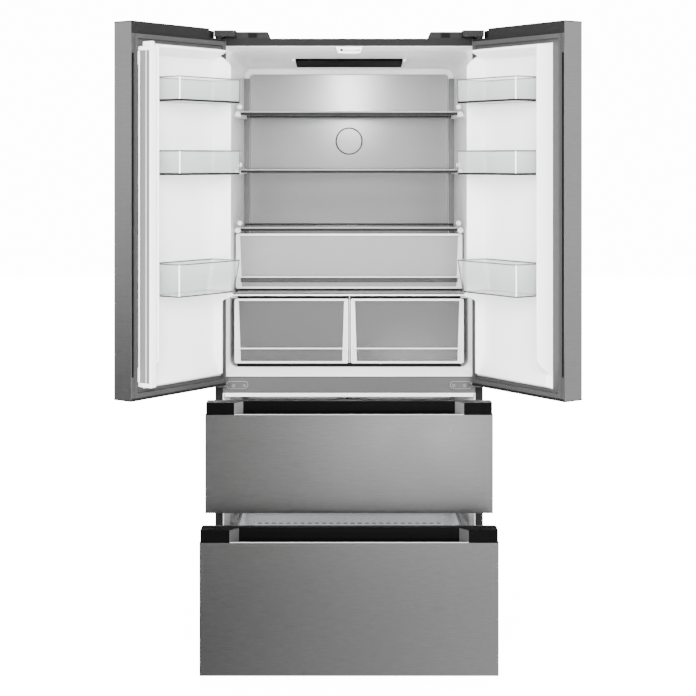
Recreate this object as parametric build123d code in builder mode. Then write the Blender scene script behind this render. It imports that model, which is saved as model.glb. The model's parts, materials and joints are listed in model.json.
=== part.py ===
from build123d import *
import os

# French door refrigerator. Millimetres, +Z up, +X to the user's right, +Y to the back.
# The origin is on the floor, under the middle of the cabinet's front plane.

# ---------------------------------------------------------------- driving dimensions
cabinet_width = 833.0
cabinet_depth = 575.0
cabinet_top = 1874.0
shell_bottom = 34.0
sheet = 1.2
cabinet_corner = 6.0
stile_width = 26.5
head_height = 25.4

fridge_floor = 845.0
fridge_mouth_floor = 825.6
fridge_back = 500.0
fridge_back_ceiling = 1813.0
fridge_lip_ceiling = 1839.5
freezer_mouth_ceiling = 770.6
freezer_ceiling = 757.0
freezer_floor = 82.0
freezer_mouth_floor = 74.0
lip_depth = 60.0
lip_step = 14.5
wall_draft = 15.0
liner_sheet = 2.0
hump_front = 395.0
hump_top = 300.0
compressor_wall = 42.0

door_thickness = 69.6
door_gap = 10.0
door_split = 5.0
door_bottom = 800.3
door_top = 1898.0
door_skin_sheet = 1.2
top_cap_height = 36.0
bottom_cap_height = 8.0
left_opening = 126.6
right_opening = 125.2

pin_inset = 14.1
pin_reach = 27.2
pin_radius = 4.0
running_clearance = 0.05
notch_length = 77.0
notch_floor = 1869.0
notch_reach = 49.6
hinge_plate_sheet = 3.0

gasket_width = 12.0
gasket_hinge_edge = 14.5
gasket_free_inset = 12.3
gasket_free_width = 5.4
gasket_foot = 811.0
gasket_head = 1860.0
seal_clearance = 0.3
frame_border = 25.0
grip_slot_inset = (12.0, 4.0)
grip_slot_depth = 16.0
grip_slot_z = (870.0, 1806.0)

door_liner_sheet = 2.0
dyke_height = 58.0
dyke_low_height = 24.0
dyke_crest = 4.0
dyke_hinge_rise = 19.0
dyke_hinge_fall = 10.0
dyke_free_inset = 50.0
dyke_free_fall = 28.0
dyke_step_z = 1083.0
dyke_shoulder_z = 1809.0

bin_start = 60.0
bin_free_inset = 82.0
bin_reach = 115.0
bin_wall = 2.6
bin_gap = 0.4
small_bin_height = 73.0
small_bin_bottoms = [1666.5, 1452.0]
lower_bin_bottom = 1099.0
lower_bin_height = 97.0
lower_bin_slant = 24.0

mullion_width = 52.0
mullion_depth = 22.0
mullion_bottom = 841.5
mullion_top = 1824.5
mullion_plate_width = 36.8
mullion_plate_sheet = 1.5
mullion_axis_x = -23.25
mullion_axis_y = -5.25
mullion_nose_height = 14.0
knuckle_radius = 2.3

upper_drawer_bottom = 474.2
upper_steel_top = 758.5
lower_drawer_bottom = 61.2
lower_steel_top = 431.3
drawer_trim_height = 35.6
trim_inset = 2.5
grip_depth = 30.0
grip_half_width = 333.0
grip_slant = 24.0
grip_drop = 17.0
upper_pull = 249.7
lower_pull = 421.8

basket_half_width = 327.0
basket_wall = 2.6
basket_length = 372.0
basket_rim = 8.0
basket_front = 5.0
upper_basket_z = (500.0, 735.0)
lower_basket_z = (95.0, 440.0)
rail_half_height = 17.0
rail_depth = 12.0
rail_face = 359.5
rail_sheet = 1.5
rail_play = 0.5
rail_length = 425.0
rail_front = 14.0
upper_rail_level = 560.0
lower_rail_level = 345.0

shelf_front = 175.0
shelf_back = 486.0
shelf_glass = 4.0
shelf_half_width = 356.0
shelf_trim_height = 12.0
shelf_trim_depth = 12.0
shelf_trim_half_width = 366.0
shelf_tops = [1654.0, 1467.5, 1280.0]
shelf_glass_drop = 4.0
ledge_reach = 9.0
ledge_height = 9.8
knob_rise = 14.0
knob_height = 12.0
knob_depth = 20.0
seat_clearance = 0.2

wide_crisper_front = 180.0
wide_crisper_top = 1259.0
wide_crisper_side = 365.0
crisper_back = 484.0
cover_top = 1077.0
cover_thickness = 8.0
cover_front = 55.0
cover_lip_half_width = 370.0
crisper_front = 62.0
crisper_bottom = 857.0
crisper_top = 1060.0
crisper_wall = 2.6
crisper_split_left = -2.5
crisper_split_right = 5.0
crisper_side = 360.5
slide_clearance = 0.4

foot_x = 360.0
foot_y = 32.0
foot_radius = 22.0
foot_height = 9.0
foot_stem = 7.0
roller_radius = 22.0
roller_width = 24.0
roller_y = 520.0

# ---------------------------------------------------------------- values that follow
half_width = cabinet_width / 2
cabinet_x = (-half_width, half_width)
mouth_half_width = half_width - stile_width
fridge_mouth_ceiling = cabinet_top - head_height
door_width = half_width - door_split / 2
gasket_free_edge = door_width - gasket_free_inset
grip_slot = (door_width - grip_slot_inset[0], door_width - grip_slot_inset[1])
dyke_free_edge = door_width - dyke_free_inset
bin_end = door_width - bin_free_inset
door_inner = -door_gap
door_outer = -door_gap - door_thickness
wall_at_lip = mouth_half_width - lip_step
wall_at_back = wall_at_lip - wall_draft
rear_sheet = 1.0
shell_back = cabinet_depth - rear_sheet
foam_back = shell_back - 0.4
foam_front = 1.6

shelf_rear_trim = shelf_back - 10
crisper_edges = [
    (-crisper_side, 1),
    (crisper_split_left, -1),
    (crisper_split_right, 1),
    (crisper_side, -1),
]

home = Location()
upper_out = Location((0, -upper_pull, 0))
lower_out = Location((0, -lower_pull, 0))


def hinge_pin(side):
    """Place of a door's pin: side is -1 on the left and +1 on the right."""
    return (side * (half_width - pin_inset), -pin_reach, 0)


def swung(side, angle):
    """Placing that turns a door drawn shut to its opening angle about its pin."""
    x, y, z = hinge_pin(side)
    return Location((x, y, z)) * Location((0, 0, 0), (0, 0, side * angle)) * Location((-x, -y, -z))


left_open = swung(-1, left_opening)
right_open = swung(1, right_opening)


def level(height, place=home):
    """Horizontal plane at a height, carried along by a placing."""
    return Plane(place * Plane.XY.offset(height).location)


def facing(depth, place=home):
    """Plane that faces the front at a depth, with its own y upwards."""
    plane = Plane(origin=(0, depth, 0), x_dir=(1, 0, 0), z_dir=(0, -1, 0))
    return Plane(place * plane.location)


def sideways(distance, place=home):
    """Plane square to X at a distance, with its own x to the back and y upwards."""
    plane = Plane(origin=(distance, 0, 0), x_dir=(0, 1, 0), z_dir=(1, 0, 0))
    return Plane(place * plane.location)


def ordered(a, b):
    """The two bounds, smaller first."""
    return (min(a, b), max(a, b))


def slab(x, y, z, place=home, mode=Mode.ADD):
    """Box between three pairs of bounds, joined to the open part."""
    with BuildSketch(level(z[0], place)) as outline:
        with Locations(((x[0] + x[1]) / 2, (y[0] + y[1]) / 2)):
            Rectangle(abs(x[1] - x[0]), abs(y[1] - y[0]))
    extrude(outline.sketch, amount=z[1] - z[0], mode=mode)


def prism(plane, points, amount, mode=Mode.ADD):
    """Straight-sided outline on a plane, extruded by an amount."""
    with BuildSketch(plane) as outline:
        with BuildLine():
            Polyline(*points, close=True)
        make_face()
    extrude(outline.sketch, amount=amount, mode=mode)


def rod(plane, centre, radius, amount, mode=Mode.ADD):
    """Round bar or hole on a plane, extruded by an amount."""
    with BuildSketch(plane) as outline:
        with Locations(centre):
            Circle(radius)
    extrude(outline.sketch, amount=amount, mode=mode)


def save(builder, name):
    """Label a finished piece and write its STEP file."""
    builder.part.label = name
    export_step(builder.part, f"parts/{name}.step")


os.makedirs("parts", exist_ok=True)


# ---------------------------------------------------------------- cabinet spaces
def wall_outline(grow):
    """Plan outline of a liner: wide at its lip and drawn in towards the back."""
    lip = mouth_half_width + grow
    after_lip = wall_at_lip + grow
    back = wall_at_back + grow
    end = fridge_back + grow
    right = [(lip, 0), (after_lip, lip_depth), (back, end)]
    return right + [(-x, y) for x, y in reversed(right)]


def fridge_outline(grow):
    """Side outline of the fridge compartment."""
    return [
        (0, fridge_mouth_floor - grow),
        (lip_depth, fridge_floor - grow),
        (fridge_back + grow, fridge_floor - grow),
        (fridge_back + grow, fridge_back_ceiling + grow),
        (lip_depth, fridge_lip_ceiling + grow),
        (0, fridge_mouth_ceiling + grow),
    ]


def freezer_outline(grow):
    """Side outline of the freezer compartment, stepped over the compressor."""
    return [
        (0, freezer_mouth_floor - grow),
        (lip_depth, freezer_floor - grow),
        (hump_front + grow, freezer_floor - grow),
        (hump_front + grow, hump_top - grow),
        (fridge_back + grow, hump_top - grow),
        (fridge_back + grow, freezer_ceiling + grow),
        (lip_depth, freezer_ceiling + grow),
        (0, freezer_mouth_ceiling + grow),
    ]


def tub(side_outline, grow):
    """Solid with the given side outline and the cabinet's tapered plan."""
    with BuildPart() as space:
        prism(sideways(-half_width), side_outline(grow), cabinet_width)
        prism(level(0), wall_outline(grow), cabinet_top, mode=Mode.INTERSECT)
    return space.part


fridge_space = tub(fridge_outline, 0)
freezer_space = tub(freezer_outline, 0)

# ---------------------------------------------------------------- cabinet
with BuildPart() as outer_shell:
    slab(cabinet_x, (0, shell_back), (shell_bottom, cabinet_top))
    fillet(outer_shell.edges().filter_by(Axis.Z).group_by(Axis.Y)[0], cabinet_corner)
    with BuildSketch(level(shell_bottom)) as hollow:
        with Locations((0, (sheet + shell_back) / 2)):
            Rectangle(cabinet_width - 2 * sheet, shell_back - sheet)
        fillet(hollow.vertices().group_by(Axis.Y)[0], cabinet_corner - sheet)
    extrude(hollow.sketch, amount=cabinet_top - sheet - shell_bottom, mode=Mode.SUBTRACT)
    mouth_x = (-mouth_half_width - liner_sheet, mouth_half_width + liner_sheet)
    mouth_z = (shell_bottom, fridge_mouth_ceiling + liner_sheet)
    slab(mouth_x, (0, sheet), mouth_z, mode=Mode.SUBTRACT)
save(outer_shell, "outer_shell")

rear_panel_bottom = 292.0
with BuildPart() as rear_panel:
    slab(cabinet_x, (shell_back, cabinet_depth), (rear_panel_bottom, cabinet_top))
    for rib in (-200, 0, 200):
        slab((rib - 30, rib + 30), (cabinet_depth, cabinet_depth + 2), (420, 1760))
save(rear_panel, "rear_panel")

with BuildPart() as compressor_cover:
    slab(cabinet_x, (shell_back, cabinet_depth), (shell_bottom, rear_panel_bottom - 1))
    with BuildSketch(facing(cabinet_depth + 1)) as slots:
        with Locations((0, 170)):
            with GridLocations(44, 22, 14, 7):
                SlotOverall(34, 8)
    extrude(slots.sketch, amount=3, mode=Mode.SUBTRACT)
save(compressor_cover, "compressor_cover")

foam_wall_x = half_width - sheet - 0.4
foam_top = cabinet_top - sheet - 0.4
foam_bottom = shell_bottom + 2
foam_joint = 0.2
with BuildPart() as insulation:
    side_points = [
        (foam_wall_x - cabinet_corner, foam_front),
        (mouth_half_width + liner_sheet + 1, foam_front),
        (wall_at_lip + liner_sheet, lip_depth),
        (wall_at_back + liner_sheet, fridge_back + liner_sheet),
        (wall_at_back + liner_sheet, foam_back),
        (foam_wall_x, foam_back),
        (foam_wall_x, foam_front + cabinet_corner),
    ]
    for side in (-1, 1):
        points = [(side * x, y) for x, y in side_points]
        prism(level(foam_bottom), points, foam_top - foam_bottom)
    inner_x = wall_at_back + liner_sheet - foam_joint
    across = (-inner_x, inner_x)
    liner_rear = fridge_back + liner_sheet
    head = [
        (foam_front, foam_top),
        (foam_front, fridge_mouth_ceiling + liner_sheet + 1),
        (lip_depth, fridge_lip_ceiling + liner_sheet),
        (liner_rear, fridge_back_ceiling + liner_sheet),
        (foam_back, fridge_back_ceiling + liner_sheet),
        (foam_back, foam_top),
    ]
    prism(sideways(-inner_x), head, 2 * inner_x)
    middle = [
        (foam_front, fridge_mouth_floor - liner_sheet - 1),
        (foam_front, freezer_mouth_ceiling + liner_sheet + 1),
        (lip_depth, freezer_ceiling + liner_sheet),
        (liner_rear, freezer_ceiling + liner_sheet),
        (liner_rear, fridge_floor - liner_sheet),
        (lip_depth, fridge_floor - liner_sheet),
    ]
    prism(sideways(-inner_x), middle, 2 * inner_x)
    deck = hump_top - liner_sheet
    back_z = (deck + foam_joint, fridge_back_ceiling + liner_sheet - foam_joint)
    slab(across, (liner_rear + foam_joint, foam_back), back_z)
    bottom = [
        (foam_front, foam_bottom),
        (foam_front, freezer_mouth_floor - liner_sheet - 1),
        (lip_depth, freezer_floor - liner_sheet),
        (hump_front + liner_sheet - foam_joint, freezer_floor - liner_sheet),
        (hump_front + liner_sheet - foam_joint, foam_bottom),
    ]
    prism(sideways(-inner_x), bottom, 2 * inner_x)
    hump_rear = hump_front + compressor_wall
    slab(across, (hump_front + liner_sheet, hump_rear), (foam_bottom, deck))
    slab(across, (hump_rear + foam_joint, foam_back), (hump_top - compressor_wall, deck))
save(insulation, "insulation")

with BuildPart() as fridge_liner:
    add(tub(fridge_outline, liner_sheet))
    add(fridge_space, mode=Mode.SUBTRACT)
    cover_under = cover_top - cover_thickness - seat_clearance
    for side in (-1, 1):
        ledge_x = ordered(side * (shelf_half_width - ledge_reach), side * (wall_at_lip + 1))
        for top in shelf_tops:
            ledge_top = top - shelf_glass_drop - shelf_glass - seat_clearance
            ledge_y = (shelf_front + shelf_trim_depth + 10, shelf_rear_trim - seat_clearance)
            slab(ledge_x, ledge_y, (ledge_top - ledge_height, ledge_top))
            knob_y = (shelf_front - 2, shelf_front - 2 + knob_depth)
            slab(ledge_x, knob_y, (top + knob_rise, top + knob_rise + knob_height))
        slab(ledge_x, (cover_front + 30, shelf_back), (cover_under - ledge_height, cover_under))
    runner_z = (fridge_floor - 0.5, crisper_bottom - slide_clearance)
    runner_y = (crisper_front + 25, shelf_back)
    for edge_x, inwards in crisper_edges:
        slab(ordered(edge_x + 12 * inwards, edge_x + 22 * inwards), runner_y, runner_z)
    add(tub(fridge_outline, liner_sheet), mode=Mode.INTERSECT)
save(fridge_liner, "fridge_liner")

with BuildPart() as freezer_liner:
    add(tub(freezer_outline, liner_sheet))
    add(freezer_space, mode=Mode.SUBTRACT)
save(freezer_liner, "freezer_liner")

crossbar_z = (448.0, 494.0)
crossbar_depth = 18.0
rail_x = (-mouth_half_width - liner_sheet + 0.2, mouth_half_width + liner_sheet - 0.2)
with BuildPart() as cross_rails:
    slab(rail_x, (0, sheet), (freezer_mouth_ceiling + liner_sheet, fridge_mouth_floor - liner_sheet))
    bar_front = mouth_half_width - 0.2
    bar_back = bar_front - crossbar_depth * lip_step / lip_depth
    bar_points = [(bar_front, 0), (bar_back, crossbar_depth), (-bar_back, crossbar_depth), (-bar_front, 0)]
    prism(level(crossbar_z[0]), bar_points, crossbar_z[1] - crossbar_z[0])
    slab(rail_x, (0, sheet), (shell_bottom, freezer_mouth_floor - liner_sheet))
save(cross_rails, "cross_rails")

panel_bottom = cover_top + 6
panel_top = 1790.0
panel_half_width = 340.0
panel_thickness = 9.0
panel_sheet = 3.0
with BuildPart() as cooling_panel:
    with BuildSketch(facing(fridge_back)) as face:
        with Locations((0, (panel_bottom + panel_top) / 2)):
            RectangleRounded(2 * panel_half_width, panel_top - panel_bottom, 12)
    extrude(face.sketch, amount=panel_thickness)
    fillet(cooling_panel.faces().sort_by(Axis.Y)[0].edges(), 2)
    duct_half = panel_half_width - panel_sheet
    air_y = (fridge_back - panel_thickness + panel_sheet, fridge_back)
    air_z = (panel_bottom + panel_sheet, panel_top - panel_sheet)
    slab((-duct_half, duct_half), air_y, air_z, mode=Mode.SUBTRACT)
    with BuildSketch(facing(fridge_back - panel_thickness)) as vents:
        for top in shelf_tops:
            with Locations((0, top + 40)):
                with GridLocations(520, 10, 2, 1):
                    SlotOverall(60, 8)
    extrude(vents.sketch, amount=-5, mode=Mode.SUBTRACT)
save(cooling_panel, "cooling_panel")


def ceiling_at(y):
    """Height of the fridge ceiling at a depth behind its lip."""
    fall = (fridge_lip_ceiling - fridge_back_ceiling) / (fridge_back - lip_depth)
    return fridge_lip_ceiling - fall * (y - lip_depth)


lamp_y = (250.0, 430.0)
lamp_thickness = 7.0
lamp_half_width = 176.0
with BuildPart() as ceiling_lamp:
    lamp_points = [
        (lamp_y[0], ceiling_at(lamp_y[0])),
        (lamp_y[1], ceiling_at(lamp_y[1])),
        (lamp_y[1] - 1.5, ceiling_at(lamp_y[1]) - lamp_thickness),
        (lamp_y[0] + 1.5, ceiling_at(lamp_y[0]) - lamp_thickness),
    ]
    prism(sideways(-lamp_half_width), lamp_points, 2 * lamp_half_width)
save(ceiling_lamp, "ceiling_lamp")

guide_half_width = 42.0
guide_bottom = 1829.0
guide_y = (3.0, 42.0)
nose_x = (-11.0, 24.0)
nose_y = (3.5, 18.5)
nose_play = 4.0
with BuildPart() as mullion_guide:
    guide_points = [
        (-guide_half_width, fridge_mouth_ceiling),
        (guide_half_width, fridge_mouth_ceiling),
        (guide_half_width - 8, guide_bottom),
        (-guide_half_width + 8, guide_bottom),
    ]
    prism(facing(guide_y[1]), guide_points, guide_y[1] - guide_y[0])
    groove_x = (nose_x[0] - nose_play, nose_x[1] + nose_play)
    groove_z = (guide_bottom, mullion_top + mullion_nose_height + 1.5)
    slab(groove_x, (guide_y[0] - 1, nose_y[1] + nose_play), groove_z, mode=Mode.SUBTRACT)
    add(fridge_space, mode=Mode.INTERSECT)
save(mullion_guide, "mullion_guide")

with BuildPart() as shelf_glasses:
    for top in shelf_tops:
        glass_y = (shelf_front + shelf_trim_depth, shelf_rear_trim)
        glass_z = (top - shelf_glass_drop - shelf_glass, top - shelf_glass_drop)
        slab((-shelf_half_width, shelf_half_width), glass_y, glass_z)
save(shelf_glasses, "shelf_glasses")

with BuildPart() as shelf_trims:
    for top in shelf_tops:
        trim_z = (top - shelf_trim_height, top)
        front_y = (shelf_front, shelf_front + shelf_trim_depth)
        slab((-shelf_trim_half_width, shelf_trim_half_width), front_y, trim_z)
        slab((-shelf_half_width, shelf_half_width), (shelf_rear_trim, shelf_back), trim_z)
    fillet(shelf_trims.edges().filter_by(Axis.X).group_by(Axis.Y)[0], 2)
save(shelf_trims, "shelf_trims")

with BuildPart() as crisper_cover:
    slab_z = (cover_top - cover_thickness, cover_top)
    cover_lip = cover_front + shelf_trim_depth
    slab((-shelf_half_width, shelf_half_width), (cover_lip, shelf_back), slab_z)
    slab((-cover_lip_half_width, cover_lip_half_width), (cover_front, cover_lip), slab_z)
    fillet(crisper_cover.edges().filter_by(Axis.X).group_by(Axis.Y)[0], 2)
save(crisper_cover, "crisper_cover")

divider_middle = (crisper_split_left + crisper_split_right) / 2
with BuildPart() as crisper_divider:
    divider_x = (divider_middle - 1.2, divider_middle + 1.2)
    slab(divider_x, (crisper_front + 12, shelf_back), (fridge_floor, cover_top - cover_thickness))
save(crisper_divider, "crisper_divider")


rim_reach = 6.0
rim_width = 6.0
ridge_reach = 9.0
ridge_share = 0.22
crisper_panel = 5.0
crisper_side_gap = 9.0


def crisper(name, x, front, bottom, top):
    """Clear drawer with a rimmed front, a grip ridge and an open box behind."""
    panel_back = front + crisper_panel
    with BuildPart() as drawer:
        slab(x, (front, panel_back), (bottom, top))
        box_x = (x[0] + crisper_side_gap, x[1] - crisper_side_gap)
        slab(box_x, (panel_back, crisper_back), (bottom, top - rim_width))
        inner_x = (box_x[0] + crisper_wall, box_x[1] - crisper_wall)
        inner_y = (panel_back, crisper_back - crisper_wall)
        slab(inner_x, inner_y, (bottom + crisper_wall, top), mode=Mode.SUBTRACT)
        rim_y = (front - rim_reach, front)
        slab(x, rim_y, (bottom, top))
        field_x = (x[0] + rim_width, x[1] - rim_width)
        slab(field_x, rim_y, (bottom + rim_width, top - rim_width), mode=Mode.SUBTRACT)
        ridge = bottom + ridge_share * (top - bottom)
        slab(field_x, (front - ridge_reach, front), (ridge, ridge + 4))
    save(drawer, name)


crisper("wide_crisper", (-wide_crisper_side, wide_crisper_side), wide_crisper_front,
        cover_top + slide_clearance, wide_crisper_top)
crisper("left_crisper", (-crisper_side, crisper_split_left), crisper_front, crisper_bottom, crisper_top)
crisper("right_crisper", (crisper_split_right, crisper_side), crisper_front, crisper_bottom, crisper_top)


# ---------------------------------------------------------------- hinges
hinge_top = cabinet_top + hinge_plate_sheet
hinge_base_x = (8.0, 76.0)
hinge_base_y = (8.0, 90.0)
arm_half_width = 12.0
collar_radius = 7.5
pin_depth = 24.0


def from_side(side, distance):
    """X at a distance in from one side of the cabinet."""
    return side * (half_width - distance)


with BuildPart() as top_hinges:
    for side in (-1, 1):
        pin_x, pin_y, _ = hinge_pin(side)
        base_x = ordered(from_side(side, hinge_base_x[0]), from_side(side, hinge_base_x[1]))
        slab(base_x, hinge_base_y, (cabinet_top, hinge_top))
        arm_x = (pin_x - arm_half_width, pin_x + arm_half_width)
        slab(arm_x, (pin_y, hinge_base_y[0] + 2), (cabinet_top, hinge_top))
        rod(level(cabinet_top), (pin_x, pin_y), arm_half_width, hinge_plate_sheet)
        rod(level(notch_floor + seal_clearance), (pin_x, pin_y), collar_radius, 5)
        rod(level(notch_floor - pin_depth), (pin_x, pin_y), pin_radius, pin_depth + 3)
        rod(level(cabinet_top - seal_clearance), (pin_x, pin_y), collar_radius, 1)
save(top_hinges, "top_hinges")

cover_z = (cabinet_top, 1895.0)
cover_y = (2.0, 96.0)
cover_x = (4.0, 171.0)
cover_slant = 8.0
cover_wall = 3.0
nose_top = 1896.5
cover_nose_x = (1.0, 66.0)
nose_reach = 45.0
nose_lap = 40.0
arm_room = 0.3
with BuildPart() as hinge_covers:
    for side in (-1, 1):
        rear_points = [
            (from_side(side, cover_x[0]), cover_z[0]),
            (from_side(side, cover_x[0]), cover_z[1]),
            (from_side(side, cover_x[1] - cover_slant), cover_z[1]),
            (from_side(side, cover_x[1]), cover_z[0]),
        ]
        prism(facing(cover_y[1]), rear_points, cover_y[1] - cover_y[0])
        inner_far = cover_x[1] - cover_slant - cover_wall
        hollow_x = ordered(from_side(side, cover_x[0] + cover_wall), from_side(side, inner_far))
        hollow_y = (cover_y[0] + cover_wall, cover_y[1] - cover_wall)
        slab(hollow_x, hollow_y, (cover_z[0], cover_z[1] - cover_wall), mode=Mode.SUBTRACT)
        nose_block = ordered(from_side(side, cover_nose_x[0]), from_side(side, cover_nose_x[1]))
        slab(nose_block, (-nose_reach, cover_y[0]), (hinge_top + arm_room, nose_top))
        slab(nose_block, (cover_y[0], nose_lap), (cover_z[1] - 1, nose_top))
        slot_x = ordered(from_side(side, 0), from_side(side, pin_inset + arm_half_width + 1))
        slot_y = (cover_y[0] - 1, hinge_base_y[0] + cover_wall)
        slab(slot_x, slot_y, (cover_z[0], hinge_top + arm_room), mode=Mode.SUBTRACT)
    fillet(hinge_covers.edges().filter_by(Axis.X).group_by(Axis.Z)[-1], 1.5)
save(hinge_covers, "hinge_covers")

trim_top = upper_steel_top + drawer_trim_height
arm_bottom = trim_top + 1.4
plate_z = (782.0, 809.0)
plate_x = (34.0, 103.0)
screw_x = (58.0, 91.5)
screw_hole_radius = 3.0
screw_head_radius = 5.2
screw_head_height = 2.4
plate_corner = 6.0
plate_middle = sum(plate_z) / 2
with BuildPart() as middle_hinges:
    for side in (-1, 1):
        pin_x, pin_y, _ = hinge_pin(side)
        with BuildSketch(facing(0)) as plate:
            with Locations((from_side(side, sum(plate_x) / 2), plate_middle)):
                RectangleRounded(plate_x[1] - plate_x[0], plate_z[1] - plate_z[0], plate_corner)
            for x in screw_x:
                with Locations((from_side(side, x), plate_middle)):
                    Circle(screw_hole_radius, mode=Mode.SUBTRACT)
        extrude(plate.sketch, amount=hinge_plate_sheet)
        arm_z = (arm_bottom, arm_bottom + hinge_plate_sheet)
        arm_x = ordered(pin_x + side * arm_half_width, from_side(side, screw_x[0] - 10))
        slab(arm_x, (pin_y, 0), arm_z)
        rod(level(arm_bottom), (pin_x, pin_y), arm_half_width, hinge_plate_sheet)
        rod(level(arm_bottom), (pin_x, pin_y), collar_radius, door_bottom - seal_clearance - arm_bottom)
        rod(level(arm_bottom), (pin_x, pin_y), pin_radius, pin_depth - 2)
save(middle_hinges, "middle_hinges")

with BuildPart() as hinge_screws:
    for side in (-1, 1):
        for x in screw_x:
            centre = (from_side(side, x), plate_middle)
            rod(facing(-hinge_plate_sheet), centre, screw_head_radius, screw_head_height)
            rod(facing(0), centre, screw_hole_radius, hinge_plate_sheet)
    fillet(hinge_screws.edges().filter_by(GeomType.CIRCLE).group_by(Axis.Y)[0], 1)
save(hinge_screws, "hinge_screws")

# ---------------------------------------------------------------- base, rails and cold circuit
pan_bottom = shell_bottom + 0.2
pan_top = shell_bottom + 1.7
roller_x = 335.0
cheek_offset = roller_width / 2 + 1
cheek_half_length = 14.0
cheek_foot = 14.0
with BuildPart() as base_pan:
    pan_x = (-foam_wall_x + 0.2, foam_wall_x - 0.2)
    slab(pan_x, (cabinet_corner + 1, shell_back - 0.2), (pan_bottom, pan_top))
    for side in (-1, 1):
        for cheek in (-1, 1):
            inner = side * roller_x + cheek * cheek_offset
            cheek_x = ordered(inner, inner + cheek * 2)
            slab(cheek_x, (roller_y - cheek_half_length, roller_y + cheek_half_length), (cheek_foot, pan_bottom))
        axle_start = side * roller_x - cheek_offset - 3
        rod(sideways(axle_start), (roller_y, roller_radius), pin_radius, 2 * cheek_offset + 6)
        gap_x = (side * roller_x - cheek_offset, side * roller_x + cheek_offset)
        gap_y = (roller_y - roller_radius, roller_y + roller_radius)
        slab(gap_x, gap_y, (pan_bottom, pan_top), mode=Mode.SUBTRACT)
save(base_pan, "base_pan")

with BuildPart() as rear_rollers:
    for side in (-1, 1):
        start = side * roller_x - roller_width / 2
        plane = sideways(start)
        rod(plane, (roller_y, roller_radius), roller_radius, roller_width)
        bore = pin_radius + running_clearance
        rod(plane, (roller_y, roller_radius), bore, roller_width, mode=Mode.SUBTRACT)
save(rear_rollers, "rear_rollers")

with BuildPart() as front_feet:
    for side in (-1, 1):
        rod(level(0), (side * foot_x, foot_y), foot_radius, foot_height)
        rod(level(foot_height), (side * foot_x, foot_y), foot_stem, pan_bottom - foot_height)
    fillet(front_feet.edges().filter_by(GeomType.CIRCLE).group_by(Axis.Z)[0], 2)
save(front_feet, "front_feet")


def channel(side, outer, depth, half_height, centre_z, y, place=home):
    """Rail profile of a web and two lips, opening towards the middle of the cabinet."""
    web = ordered(side * outer, side * (outer - rail_sheet))
    lip = ordered(side * outer, side * (outer - depth))
    slab(web, y, (centre_z - half_height, centre_z + half_height), place)
    slab(lip, y, (centre_z + half_height - rail_sheet, centre_z + half_height), place)
    slab(lip, y, (centre_z - half_height, centre_z - half_height + rail_sheet), place)


rail_y = (rail_front, rail_front + rail_length)
rear_bracket = 3.0
bracket_half_height = 10.0
step_in = rail_sheet + rail_play
with BuildPart() as cabinet_rails:
    for centre_z in (upper_rail_level, lower_rail_level):
        for side in (-1, 1):
            channel(side, rail_face, rail_depth, rail_half_height, centre_z, rail_y)
            bracket_z = (centre_z - bracket_half_height, centre_z + bracket_half_height)
            rear_x = ordered(side * rail_face, side * (rail_face + rear_bracket))
            slab(rear_x, (rail_y[1] - 24, rail_y[1]), bracket_z)
            front_x = ordered(side * rail_face, side * (wall_at_lip - 1.5))
            slab(front_x, (lip_depth + 10, lip_depth + 30), bracket_z)
save(cabinet_rails, "cabinet_rails")

middle_face = rail_face - step_in
middle_half_height = rail_half_height - step_in
middle_depth = rail_depth - step_in
inner_face = middle_face - step_in
inner_half_height = middle_half_height - step_in


def middle_rails(name, centre_z, pull):
    """Pair of middle rail members, half way out when the drawer is out."""
    place = Location((0, -pull / 2, 0))
    with BuildPart() as members:
        for side in (-1, 1):
            channel(side, middle_face, middle_depth, middle_half_height, centre_z, rail_y, place)
    save(members, name)


middle_rails("upper_middle_rails", upper_rail_level, upper_pull)
middle_rails("lower_middle_rails", lower_rail_level, lower_pull)

compressor_centre = (-210.0, 506.0)
compressor_foot = (180.0, 110.0, 4.0)
compressor_height = 150.0
with BuildPart() as compressor:
    with BuildSketch(level(pan_top)) as plate:
        with Locations(compressor_centre):
            RectangleRounded(compressor_foot[0], compressor_foot[1], 12)
    extrude(plate.sketch, amount=compressor_foot[2])
    with BuildSketch(level(pan_top + compressor_foot[2])) as can:
        with Locations(compressor_centre):
            Ellipse(72, 54)
    extrude(can.sketch, amount=compressor_height)
    fillet(compressor.edges().group_by(Axis.Z)[-1], 30)
save(compressor, "compressor")

duct_front = 441.0
duct_half_width = 340.0
duct_z = (hump_top, 750.0)
duct_sheet = 2.5
fan_centre_z = 655.0
fan_radius = 58.0
fan_y = 469.0
hub_radius = 20.0
hub_length = 16.0
motor_radius = 26.0
motor_length = 24.0
spindle_radius = 3.0
with BuildPart() as duct_cover:
    duct_x = (-duct_half_width, duct_half_width)
    slab(duct_x, (duct_front, fridge_back - 0.2), duct_z)
    hollow_x = (-duct_half_width + duct_sheet, duct_half_width - duct_sheet)
    hollow_z = (duct_z[0], duct_z[1] - duct_sheet)
    slab(hollow_x, (duct_front + duct_sheet, fridge_back), hollow_z, mode=Mode.SUBTRACT)
    with BuildSketch(facing(duct_front + duct_sheet)) as vents:
        with Locations((0, fan_centre_z)):
            with GridLocations(30, 16, 3, 5):
                SlotOverall(24, 7)
        for vent_x in (-220, 220):
            with Locations((vent_x, 690)):
                with GridLocations(10, 16, 1, 4):
                    SlotOverall(90, 7)
    extrude(vents.sketch, amount=5, mode=Mode.SUBTRACT)
save(duct_cover, "duct_cover")

with BuildPart() as fan_motor:
    rod(facing(fridge_back), (0, fan_centre_z), motor_radius, motor_length)
    rod(facing(fridge_back), (0, fan_centre_z), spindle_radius, motor_length + 28)
save(fan_motor, "fan_motor")

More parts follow.
